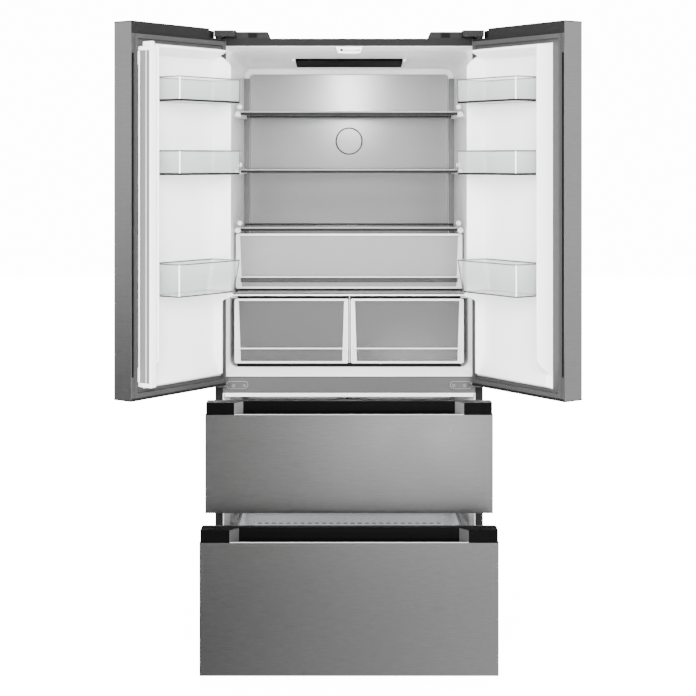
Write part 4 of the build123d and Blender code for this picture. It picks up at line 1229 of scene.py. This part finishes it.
SMALL_BIN = BinShape(feet=(1.452, 1.6665), height=0.073, corner=0.010, slant=0.002, lean=0.002,
                     post_setback=0.0, post_foot=0.006, line_inset=(-0.0008, 0.0012),
                     line_level=(0.0006, 0.0062), line_width=0.0034, line_corner=0.010)
LARGE_BIN = BinShape(feet=(1.099,), height=0.097, corner=0.014, slant=0.024, lean=0.006,
                     post_setback=0.002, post_foot=0.004, line_inset=(0.0008, 0.0068),
                     line_level=(0.0002, 0.0034), line_width=0.0030, line_corner=0.012)


@dataclass
class FridgeDoor:
    """One swinging door with its moulded liner, bins, seal and caps."""

    side: Side
    relief: LinerRelief = LinerRelief()
    liner_grid: Tuple[int, int] = (110, 120)
    liner_lift: float = -0.0003
    bin_start: float = 0.060
    bin_end: float = 0.332
    bin_reach: float = 0.115
    bin_gap: float = 0.0004
    bin_inset: float = 0.0015
    bin_draft: float = 0.002
    bin_wall: float = 0.0022
    rim_height: float = 0.0035
    rim_width: float = 0.0034
    post_radius: float = 0.0024
    post_inset: Pair = (0.0052, 0.0056)
    post_drop: float = 0.003
    edge_width: float = 0.0026
    edge_inset: Pair = (0.0030, 0.0060)
    slot_across: Pair = (0.4021, 0.4099)
    slot_depth: float = 0.0158
    slot_level: Pair = (0.8702, 1.8058)
    slot_sheet: float = 0.0004
    rest: Matrix = field(init=False)
    half_width: float = field(init=False)
    inner: float = field(init=False)

    def __post_init__(self) -> None:
        """Works out where the door stands, its hinge edge and its inner face."""
        self.rest = rest_matrix(f"{self.side.label}_door_swing")
        low, high = shut_box(self.node("skin"), self.rest)
        self.half_width = high.x if self.side.sign > 0 else -low.x
        self.inner = high.y

    @property
    def body(self) -> str:
        """The rigid body that the door's pieces ride on."""
        return f"{self.side.label}_door"

    def node(self, part: str) -> str:
        """Gives the name of one of the door's nodes."""
        return f"{self.side.label}_door_{part}"

    def across(self, start: float, end: float) -> Pair:
        """Gives the low and high X between two distances in from the hinge edge."""
        low, high = sorted(self.side.sign * (self.half_width - reach) for reach in (start, end))
        return low, high

    def build(self) -> None:
        """Dresses and builds the whole door."""
        plain = {"skin": DOOR_STEEL, "caps": CAP_PLASTIC, "core": FRAME_GREY, "frame": FRAME_GREY,
                 "gasket": SEAL, "liner": WHITE_LINER, "bins": CLEAR_BIN}
        for part, finish in plain.items():
            dress(self.node(part), finish)
        self.build_liner()
        self.build_bins()
        self.build_slot_lining()

    def build_slot_lining(self) -> None:
        """Builds dark sheets painted as the shade inside the finger slot down the door's free edge."""
        (near, far), (foot, head), sheet = self.slot_across, self.slot_level, self.slot_sheet
        floor = self.inner - self.slot_depth
        form = Form()
        # The slot's floor and both its walls, painted as shade.
        for start, end, top in ((near, far, floor + sheet), (near, near + sheet, self.inner - 0.0008),
                                (far - sheet, far, self.inner - 0.0008)):
            x = self.across(start, end)
            form.pad((x[0], floor, foot), (x[1], top, head), 0.0001, 1)
        form.place(self.rest)
        Piece(f"{self.body}_slot_lining", self.body, "door_frame", DARK_LINE).make(form)

    def build_liner(self) -> None:
        """Builds the white inner moulding as one drawn sheet."""
        low, high = shut_box(self.node("liner"), self.rest)
        near, far = sorted((self.half_width - abs(low.x), self.half_width - abs(high.x)))
        columns, rows = self.liner_grid
        u_stops = ((0.0, near), (0.30, 0.064), (0.46, 0.322), (0.80, 0.360), (1.0, far))
        z_stops = ((0.0, low.z), (0.22, low.z + 0.095), (0.30, 1.055), (0.45, 1.105),
                   (0.55, high.z - 0.075), (1.0, high.z))
        form = Form()
        bmesh.ops.create_grid(form.mesh, x_segments=columns, y_segments=rows, size=0.5)
        for vert in form.mesh.verts:
            u = warp(vert.co.x + 0.5, u_stops)
            z = warp(vert.co.y + 0.5, z_stops)
            reach = self.liner_lift + self.relief.height(u, z, low.z, high.z)
            vert.co = Vector((self.side.sign * (self.half_width - u), self.inner + reach, z))
        faces = form.mesh.faces[:]
        bmesh.ops.recalc_face_normals(form.mesh, faces=faces)
        if sum(face.normal.y * face.calc_area() for face in faces) < 0:
            bmesh.ops.reverse_faces(form.mesh, faces=faces)
        form.place(self.rest)
        Piece(f"{self.body}_liner_moulding", self.body, "door_liner", WHITE_LINER, (self.node("liner"),),
              75.0).make(form)

    def build_bins(self) -> None:
        """Builds the three clear bins with their rims, posts and dark foot lines."""
        walls, rims, ribs, lines = Form(), Form(), Form(), Form()
        for shape in (SMALL_BIN, LARGE_BIN):
            for foot in shape.feet:
                self.add_bin(shape, foot, walls, rims, ribs, lines)
        parts = (("walls", walls, CLEAR_BIN, (self.node("bins"),)), ("rims", rims, BIN_RIM, ()),
                 ("ribs", ribs, WHITE_MOULDING, ()), ("foot_lines", lines, DARK_LINE, ()))
        for label, form, finish, stands_for in parts:
            piece = Piece(f"{self.body}_bin_{label}", self.body, "door_bin", finish, stands_for)
            piece.make(form.place(self.rest))

    def add_bin(self, shape: BinShape, foot: float, walls: Form, rims: Form, ribs: Form, lines: Form) -> None:
        """Adds one bin. Its hinge corner may slant in towards its foot.

        Args:
            shape: Its size.
            foot: Height of its underside.
            walls: Where its walls and floor go.
            rims: Where its rim and its dark edge go.
            ribs: Where its pale post goes.
            lines: Where its foot line goes.
        """
        x = self.across(self.bin_start, self.bin_end)
        near, far = self.inner + self.bin_gap, self.inner + self.bin_reach
        head = foot + shape.height
        slants = (shape.slant, self.bin_draft) if self.side.sign < 0 else (self.bin_draft, shape.slant)
        walls.tray((x[0] + self.bin_inset, near, foot), (x[1] - self.bin_inset, far - self.bin_inset, head),
                   self.bin_wall, shape.corner, (*slants, 0.0, shape.lean))
        rims.frame((x[0], near, head - self.rim_height), (x[1], far, head), self.rim_width,
                   shape.corner + 0.001, "Z")
        (aside, back), (line_foot, line_head) = shape.line_inset, shape.line_level
        lines.frame((x[0] + slants[0] + aside, near, foot + line_foot),
                    (x[1] - slants[1] - aside, far - back, foot + line_head),
                    shape.line_width, shape.line_corner, "Z")
        self.add_posts(rims, ribs, x, far - shape.post_setback,
                       (foot + shape.post_foot, head - self.post_drop), shape.slant)

    def add_posts(self, rims: Form, ribs: Form, x: Pair, front: float, level: Pair, slant: float) -> None:
        """Adds the pale post at a bin's free corner and the dark edge at its hinge corner.

        Args:
            rims: Where the dark edge goes.
            ribs: Where the pale post goes.
            x: The bin's low and high X.
            front: Y of its front wall's face.
            level: The posts' bottom and top.
            slant: How far the hinge corner draws in at its foot.
        """
        inward = self.side.sign
        free, hinge = (x[0], x[1]) if inward > 0 else (x[1], x[0])
        low, high = level
        ribs.rod((free + inward * self.post_inset[0], front - self.post_inset[1], (low + high) / 2),
                 self.post_radius, high - low, "Z", 12)
        y, width = front - self.edge_inset[1], inward * self.edge_width
        top = hinge - inward * self.edge_inset[0]
        foot = top - inward * slant
        part = Form()
        part.outline([(foot, y, low), (foot - width, y, low), (top - width, y, high), (top, y, high)],
                     (0, self.edge_inset[1] / 2, 0))
        part.soften(0.0004, 1)
        rims.absorb(part)


@dataclass
class FoldingMullion:
    """The centre mullion that folds against the left door."""

    half: float = 0.026
    depth: float = 0.022
    bottom: float = 0.8415
    top: float = 1.8245
    plate_half: float = 0.0184
    plate_sheet: float = 0.0015
    cap: float = 0.012
    nose_across: Pair = (-0.011, 0.024)
    nose_deep: Pair = (0.0035, 0.0185)
    nose_rise: Pair = (-0.001, 0.014)
    knuckles: Tuple[Pair, ...] = ((0.866, 0.886), (1.780, 1.800))
    knuckle_radius: float = 0.0023
    axis: Pair = (-0.02325, -0.00525)
    seam_half: float = 0.0012

    def build(self) -> None:
        """Dresses the nodes and builds the rounded body and its plate."""
        dress("flip_mullion", WHITE_MOULDING)
        dress("mullion_plate", MULLION_GREY)
        dress("mullion_brackets", WHITE_MOULDING)
        joint = next(j for j in frame["joints"] if j["name"] == "mullion_flip")
        pivot = Matrix.Translation(joint["pos_m"])
        quarter = Matrix.Rotation(pi / 2, 4, "Z")
        folded = pivot @ quarter @ pivot.inverted() @ rest_matrix("left_door_swing")
        self.build_body(folded)
        self.build_plate(folded)

    def build_body(self, folded: Matrix) -> None:
        """Builds the white body, its end caps, nose and knuckles.

        Args:
            folded: The move from across the opening to folded against the door.
        """
        form = Form()
        low, high = self.bottom + self.cap, self.top - self.cap
        for x in both_sides(self.half, self.plate_half + 0.0002):
            form.pad((x[0], 0.0, low), (x[1], self.depth, high), 0.0016, 3)
        form.pad((-self.plate_half, self.plate_sheet + 0.0002, low),
                 (self.plate_half, self.depth, high), 0.0005)
        for foot, head in ((self.bottom, low), (high, self.top)):
            form.pad((-self.half, 0.0, foot), (self.half, self.depth, head), 0.0020, 3)
        form.pad((self.nose_across[0], self.nose_deep[0], self.top + self.nose_rise[0]),
                 (self.nose_across[1], self.nose_deep[1], self.top + self.nose_rise[1]), 0.0030, 3)
        (x, y), radius = self.axis, self.knuckle_radius
        for foot, head in self.knuckles:
            form.rod((x, y, (foot + head) / 2), radius, head - foot, "Z", 20)
            form.pad((x - radius, y, foot), (x + radius, self.plate_sheet, head), 0.0004)
        form.place(folded)
        Piece("mullion_body", "mullion", "mullion_white", WHITE_MOULDING, ("flip_mullion",)).make(form)

    def build_plate(self, folded: Matrix) -> None:
        """Builds the grey steel plate with its pale pressed line.

        Args:
            folded: The move from across the opening to folded against the door.
        """
        plate, line = Form(), Form()
        low, high = self.bottom + self.cap + 0.0005, self.top - self.cap - 0.0005
        seam = self.plate_half / 3
        start, end = seam - self.seam_half, seam + self.seam_half
        plate.pad((-self.plate_half, 0.0002, low), (start, self.plate_sheet, high), 0.0005)
        plate.pad((end, 0.0002, low), (self.plate_half, self.plate_sheet, high), 0.0005)
        line.pad((start, 0.0006, low), (end, self.plate_sheet, high), 0.0003)
        Piece("mullion_face", "mullion", "mullion_plate", MULLION_GREY, ("mullion_plate",)).make(
            plate.place(folded))
        Piece("mullion_seam", "mullion", "mullion_plate", WHITE_MOULDING).make(line.place(folded))


# ---------------------------------------------------------------- crispers and drawers
@dataclass
class Crisper:
    """A clear drawer with a frosted rim round its front."""

    name: str
    slot: str
    panel_finish: Finish
    ridge_share: float = 0.22
    ridge_height: float = 0.004
    rim: float = 0.0065
    rim_reach: float = 0.006
    rim_corner: float = 0.006
    setback: float = 0.009
    panel: float = 0.005
    panel_inset: Pair = (0.004, 0.003)
    side_gap: float = 0.009
    wall: float = 0.0024
    corner: float = 0.012
    flare: float = 0.010
    rear_draft: float = 0.004
    wall_drop: float = 0.007
    cheek_top: float = 0.010
    cheek_foot: float = 0.016
    cheek_ends: Pair = (0.004, 0.008)
    cheek_lift: float = 0.0012
    # Height of the dark strip painted as the gap's shadow along the foot; none when 0.
    foot_line: float = 0.0
    foot_line_inset: Pair = (0.006, 0.001)
    shade_inset: float = 0.008
    shade_drop: Pair = (0.015, 0.001)
    low: Vector = field(init=False)
    high: Vector = field(init=False)
    front: float = field(init=False)
    ridge: float = field(init=False)

    def __post_init__(self) -> None:
        """Takes the drawer's box from its node and works out its front face and its ridge."""
        self.low, self.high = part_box(self.name)
        self.front = self.low.y + self.setback
        self.ridge = self.low.z + self.ridge_share * (self.high.z - self.low.z)

    def build(self) -> None:
        """Builds the clear box, its front panel, its rim and its ridge."""
        dress(self.name, self.panel_finish)
        low, high, front, foot = self.low, self.high, self.front, self.low.z + self.foot_line
        box, panel, rims = Form(), Form(), Form()
        box.tray((low.x + self.side_gap, front + self.panel + 0.0006, low.z),
                 (high.x - self.side_gap, high.y, high.z - self.wall_drop),
                 self.wall, self.corner, (self.flare, self.flare, 0.0, self.rear_draft))
        aside, inset = self.panel_inset
        panel.pad((low.x + aside, front, foot + inset),
                  (high.x - aside, front + self.panel, high.z - inset), 0.0008)
        rims.frame((low.x, front - self.rim_reach, foot), (high.x, front, high.z), self.rim, self.rim_corner)
        self.add_cheeks(rims)
        rims.pad((low.x + self.rim, low.y, self.ridge),
                 (high.x - self.rim, front - 0.0005, self.ridge + self.ridge_height), 0.0012)
        if self.foot_line:
            self.build_shades()
        Piece(f"{self.name}_box", self.name, self.slot, CLEAR_BIN, (self.name,)).make(box)
        Piece(f"{self.name}_panel", self.name, self.slot, self.panel_finish).make(panel)
        Piece(f"{self.name}_rim", self.name, self.slot, WHITE_RIM).make(rims)

    def build_shades(self) -> None:
        """Builds the dark line painted as the gap's shadow along the foot, and the shade under the ridge."""
        low, high, front = self.low, self.high, self.front
        shade, line = Form(), Form()
        aside, back = self.foot_line_inset
        # Dark strip painted as the gap's shadow along the rim's foot.
        line.pad((low.x + aside, front - self.rim_reach + back, low.z + 0.0002),
                 (high.x - aside, front, low.z + self.foot_line - 0.0002), 0.0004)
        Piece(f"{self.name}_foot_line", self.name, self.slot, DARK_LINE).make(line)
        inset = self.rim + self.shade_inset
        shade.pad((low.x + inset, front - 0.0022, self.ridge - self.shade_drop[0]),
                  (high.x - inset, front - 0.0002, self.ridge - self.shade_drop[1]), 0.0008)
        Piece(f"{self.name}_ridge_shade", self.name, self.slot, RIDGE_SHADE).make(shade)

    def add_cheeks(self, form: Form) -> None:
        """Adds the pale upright cheeks that widen towards the foot.

        Args:
            form: Where they go.
        """
        foot, head = self.low.z + self.cheek_ends[0], self.high.z - self.cheek_ends[1]
        y = self.front - self.cheek_lift
        for side, edge in ((1, self.low.x + self.rim * 0.5), (-1, self.high.x - self.rim * 0.5)):
            points = [(edge, y, foot), (edge + side * self.cheek_foot, y, foot),
                      (edge + side * self.cheek_top, y, head), (edge, y, head)]
            part = Form()
            part.outline(points, (0, self.cheek_lift + 0.0002, 0))
            part.soften(0.0004, 2)
            form.absorb(part)


@dataclass
class FreezerDrawer:
    """One pull-out freezer drawer."""

    name: str
    cheek: Finish
    slot_count: int = 0
    slot_drop: float = 0.0620
    slot_reach: float = 0.275
    slot_half: float = 0.0062
    slot_height: float = 0.0036
    rib_half: float = 0.290
    rib_drop: Pair = (0.0048, 0.0012)
    pocket_half: float = 0.333
    pocket_depth: float = 0.030
    slant: float = 0.024
    skin: float = 0.0007
    cheek_drop: float = 0.004
    edge_depth: float = 0.0026
    edge_height: float = 0.0021
    basket_side: float = 0.0195
    basket_wall: float = 0.0026
    basket_corner: float = 0.016
    basket_inset: Triple = (0.0035, 0.002, 0.002)
    basket_draws: Tuple[float, ...] = (0.012, 0.012, 0.010, 0.010)
    rim_height: float = 0.008
    rim_width: float = 0.0075
    ledge_start: float = 0.312
    ledge_ends: float = 0.010
    ledge_level: Pair = (0.0022, 0.0048)
    rest: Matrix = field(init=False)

    def __post_init__(self) -> None:
        """Works out how far the drawer is pulled out at rest."""
        self.rest = rest_matrix(f"{self.name}_slide")

    def build(self) -> None:
        """Dresses and builds the drawer."""
        plain = {"front": DOOR_STEEL, "trim": BLACK_TRIM, "core": CORE, "gasket": SEAL,
                 "basket": CLEAR_BASKET, "slides": RAIL_STEEL}
        for part, finish in plain.items():
            dress(f"{self.name}_{part}", finish)
        self.build_cheeks()
        self.build_edge_lines()
        self.build_basket()

    def build_cheeks(self) -> None:
        """Builds the grey cheeks on the slanted ends of the finger pocket."""
        low, high = shut_box(f"{self.name}_trim", self.rest)
        foot = shut_box(f"{self.name}_front", self.rest)[1].z - self.cheek_drop
        form = Form()
        for side in (-1, 1):
            front = Vector((side * (self.pocket_half - 0.0002), low.y + 0.0003, foot))
            back = Vector((side * (self.pocket_half - self.slant), low.y + self.pocket_depth - 0.0004, foot))
            inward = Vector((-side * self.skin, 0, 0))
            part = Form()
            part.outline([front, back, back + inward, front + inward], (0, 0, high.z - 0.0008 - foot))
            part.soften(0.0002, 1)
            form.absorb(part)
        form.place(self.rest)
        Piece(f"{self.name}_grip_cheeks", self.name, "drawer_trim", self.cheek).make(form)

    def build_edge_lines(self) -> None:
        """Builds a pale strip painted as the highlight along the folded edge of the steel front over the
        finger pocket.
        """
        low, high = shut_box(f"{self.name}_front", self.rest)
        half = self.pocket_half - 0.001
        form = Form()
        # Pale strip painted as the highlight along the folded edge.
        form.pad((-half, low.y + 0.0002, high.z + 0.0001),
                 (half, low.y + self.edge_depth, high.z + self.edge_height), 0.0006)
        form.place(self.rest)
        Piece(f"{self.name}_painted_edge_highlight", self.name, "brushed_steel", EDGE_HIGHLIGHT).make(form)

    def build_basket(self) -> None:
        """Builds the clear basket: its rounded walls, its stiff rim and its side ledges."""
        low, high = shut_box(f"{self.name}_basket", self.rest)
        walls, rims = Form(), Form()
        left, right = low.x + self.basket_side, high.x - self.basket_side
        aside, ends, drop = self.basket_inset
        walls.tray((left + aside, low.y + ends, low.z), (right - aside, high.y - ends, high.z - drop),
                   self.basket_wall, self.basket_corner, self.basket_draws)
        rims.frame((left, low.y, high.z - self.rim_height), (right, high.y, high.z), self.rim_width,
                   self.basket_corner, "Z")
        self.add_ledges(rims, low, high)
        if self.slot_count:
            self.build_slot_row(high)
        Piece(f"{self.name}_basket_walls", self.name, "basket", CLEAR_BASKET, (f"{self.name}_basket",)).make(
            walls.place(self.rest))
        Piece(f"{self.name}_basket_rim", self.name, "basket", BIN_RIM).make(rims.place(self.rest))

    def build_slot_row(self, high: Vector) -> None:
        """Builds the pale rib along the basket's rear wall with its row of dark slots.

        Args:
            high: The basket's highest corner.
        """
        rib, slots = Form(), Form()
        wall, level = high.y - 0.0066, high.z - self.slot_drop
        rib.pad((-self.rib_half, wall - 0.0020, level - self.rib_drop[0]),
                (self.rib_half, wall + 0.0010, level - self.rib_drop[1]), 0.0006)
        for step in range(self.slot_count):
            x = self.slot_reach * (2 * step / (self.slot_count - 1) - 1)
            slots.pad((x - self.slot_half, wall - 0.0012, level),
                      (x + self.slot_half, wall + 0.0004, level + self.slot_height), 0.0004)
        Piece(f"{self.name}_basket_rib", self.name, "basket", WHITE_RIM).make(rib.place(self.rest))
        Piece(f"{self.name}_basket_slots", self.name, "basket", EDGE_SHADE).make(slots.place(self.rest))

    def add_ledges(self, form: Form, low: Vector, high: Vector) -> None:
        """Adds the side ledges that sit on the drawer's slides.

        Args:
            form: Where they go.
            low: The basket's lowest corner.
            high: Its highest corner.
        """
        slides = shut_box(f"{self.name}_slides", self.rest)[1].z
        foot, head = (slides + rise for rise in self.ledge_level)
        for x in both_sides(self.ledge_start, high.x):
            form.pad((x[0], low.y + self.ledge_ends, foot), (x[1], high.y - self.ledge_ends, head), 0.0008)


# ---------------------------------------------------------------- studio
@dataclass
class SoftBox:
    """One soft light, seen by matt surfaces, by glossy ones or by both."""

    name: str
    place: Triple
    aim: Triple
    width: float
    height: float
    power: float
    on_matt: bool = True
    on_gloss: bool = True

    def hang(self) -> None:
        """Hangs the light in the scene."""
        light = bpy.data.lights.new(self.name, "AREA")
        light.shape = "RECTANGLE"
        light.size, light.size_y = self.width, self.height
        light.energy = self.power
        lamp = bpy.data.objects.new(self.name, light)
        bpy.context.scene.collection.objects.link(lamp)
        direction = Vector(self.aim) - Vector(self.place)
        turn = direction.to_track_quat("-Z", "Y").to_matrix().to_4x4()
        lamp.matrix_world = Matrix.Translation(self.place) @ turn
        lamp.visible_camera = False
        lamp.visible_diffuse = self.on_matt
        lamp.visible_glossy = self.on_gloss


@dataclass
class Studio:
    """Floor, sky, soft lights and the camera."""

    backdrop: float = 18.0
    daylight: float = 3.6
    gloss_centre: float = 0.30
    gloss_side: float = 1.85
    gloss_sweep: Pair = (0.25, 0.9)
    gloss_lean: float = 0.02
    lean_sweep: Pair = (-0.9, 0.9)
    floor_glow: float = 14.0
    floor_gloss_left: float = 0.21
    floor_gloss_right: float = 1.15
    floor_sweep: Pair = (-0.55, 0.6)

    def build(self) -> None:
        """Builds the stage."""
        self.build_floor()
        self.build_sky()
        SoftBox("front light", (0.0, -4.6, 2.6), (0.0, 0.0, 1.2), 3.0, 1.6, 620.0, on_gloss=False).hang()
        SoftBox("low light", (0.0, -2.4, 0.06), (0.0, 0.2, 2.2), 3.0, 1.2, 130.0, on_gloss=False).hang()
        SoftBox("drawer shine", (0.32, -3.0, 0.34), (0.18, -0.33, 0.68), 0.34, 0.46, 4.6,
                on_matt=False).hang()
        SoftBox("panel shine", (0.0, -3.2, 1.92), (0.0, 0.49, 1.74), 0.10, 0.5, 9.0, on_matt=False).hang()
        self.build_camera()

    def build_floor(self) -> None:
        """Lays the plain pale floor, which shows darker in shiny metal."""
        form = Form()
        bmesh.ops.create_grid(form.mesh, x_segments=1, y_segments=1, size=FLOOR_SIZE / 2)
        mesh = bpy.data.meshes.new("studio_floor")
        form.mesh.to_mesh(mesh)
        form.mesh.free()
        material = STAGE_FLOOR.build()
        self.dim_in_gloss(material)
        mesh.materials.append(material)
        floor = bpy.data.objects.new("studio_floor", mesh)
        bpy.context.scene.collection.objects.link(floor)

    def dim_in_gloss(self, material: bpy.types.Material) -> None:
        """Brightens the floor for the camera and gives it a grey sweep in reflections.

        Args:
            material: The floor's material.
        """
        tree = material.node_tree
        output = next(n for n in tree.nodes if n.type == "OUTPUT_MATERIAL")
        shader = next(n for n in tree.nodes if n.type == "BSDF_PRINCIPLED")
        path = tree.nodes.new("ShaderNodeLightPath")
        place = tree.nodes.new("ShaderNodeSeparateXYZ")
        wire(tree, tree.nodes.new("ShaderNodeTexCoord").outputs["Object"], place.inputs["Vector"])
        glow = tree.nodes.new("ShaderNodeEmission")
        sweep = spread(tree, place.outputs["X"], self.floor_gloss_left, self.floor_gloss_right,
                       *self.floor_sweep)
        wire(tree, sweep, glow.inputs["Strength"])
        shader.inputs["Emission Color"].default_value = (1.0, 1.0, 1.0, 1.0)
        glow_strength = self.choose(tree, path.outputs["Is Camera Ray"], None, 0.0, None, self.floor_glow)
        wire(tree, glow_strength, shader.inputs["Emission Strength"])
        mix = tree.nodes.new("ShaderNodeMixShader")
        wire(tree, path.outputs["Is Glossy Ray"], mix.inputs["Fac"])
        wire(tree, shader.outputs["BSDF"], mix.inputs[1])
        wire(tree, glow.outputs["Emission"], mix.inputs[2])
        wire(tree, mix.outputs["Shader"], output.inputs["Surface"])

    def build_sky(self) -> None:
        """Surrounds the scene with pale light, with a grey sweep for reflections."""
        world = bpy.data.worlds.new("studio")
        bpy.context.scene.world = world
        world.use_nodes = True
        tree = world.node_tree
        tree.nodes.clear()
        output = tree.nodes.new("ShaderNodeOutputWorld")
        background = tree.nodes.new("ShaderNodeBackground")
        path = tree.nodes.new("ShaderNodeLightPath")
        direction = tree.nodes.new("ShaderNodeSeparateXYZ")
        wire(tree, tree.nodes.new("ShaderNodeTexCoord").outputs["Generated"], direction.inputs["Vector"])
        away = tree.nodes.new("ShaderNodeMath")
        away.operation = "ABSOLUTE"
        wire(tree, direction.outputs["X"], away.inputs[0])
        sides = spread(tree, away.outputs["Value"], self.gloss_centre, self.gloss_side, *self.gloss_sweep)
        lean = spread(tree, direction.outputs["X"], 1.0 - self.gloss_lean, 1.0 + self.gloss_lean,
                      *self.lean_sweep)
        sweep = combine(tree, "MULTIPLY", sides, lean)
        matt_or_gloss = self.choose(tree, path.outputs["Is Glossy Ray"], None, self.daylight, sweep)
        strength = self.choose(tree, path.outputs["Is Camera Ray"], matt_or_gloss, 0.0, None, self.backdrop)
        wire(tree, strength, background.inputs["Strength"])
        wire(tree, background.outputs["Background"], output.inputs["Surface"])

    def choose(self, tree: Tree, switch: Socket, off: Optional[Socket], off_value: float,
               on: Optional[Socket], on_value: float = 0.0) -> Socket:
        """Picks one of two values by a switch.

        Args:
            tree: Where the node is made.
            switch: 0 or 1.
            off: Value for 0, if it is linked.
            off_value: Value for 0 otherwise.
            on: Value for 1, if it is linked.
            on_value: Value for 1 otherwise.

        Returns:
            The picked value.
        """
        mix = tree.nodes.new("ShaderNodeMix")
        wire(tree, switch, mix.inputs["Factor"])
        mix.inputs["A"].default_value = off_value
        mix.inputs["B"].default_value = on_value
        if off is not None:
            wire(tree, off, mix.inputs["A"])
        if on is not None:
            wire(tree, on, mix.inputs["B"])
        return mix.outputs["Result"]

    def build_camera(self) -> None:
        """Sets up the camera level, straight in front."""
        data = bpy.data.cameras.new("camera")
        data.lens = CAMERA_LENS
        data.sensor_width = SENSOR_WIDTH
        data.shift_x, data.shift_y = CAMERA_SHIFT
        data.clip_end = VIEW_END
        camera = bpy.data.objects.new("camera", data)
        level = Matrix.Rotation(pi / 2, 4, "X")
        camera.matrix_world = Matrix.Translation((0, -CAMERA_DISTANCE, CAMERA_HEIGHT)) @ level
        bpy.context.scene.collection.objects.link(camera)
        bpy.context.scene.camera = camera


def main() -> None:
    """Builds the refrigerator's looks and the studio round it."""
    logging.basicConfig(level=logging.INFO, format="%(name)s: %(message)s")
    Cabinet().build()
    for side in Side:
        FridgeDoor(side).build()
    FoldingMullion().build()
    Crisper("wide_crisper", "wide_crisper", WIDE_PANEL, foot_line=0.0045).build()
    for side in Side:
        Crisper(f"{side.label}_crisper", "lower_crisper", CLEAR_CRISPER).build()
    FreezerDrawer("upper_drawer", GRIP_CHEEK).build()
    FreezerDrawer("lower_drawer", SHADED_CHEEK, slot_count=26).build()
    Studio().build()


if __name__ == "__main__":
    main()
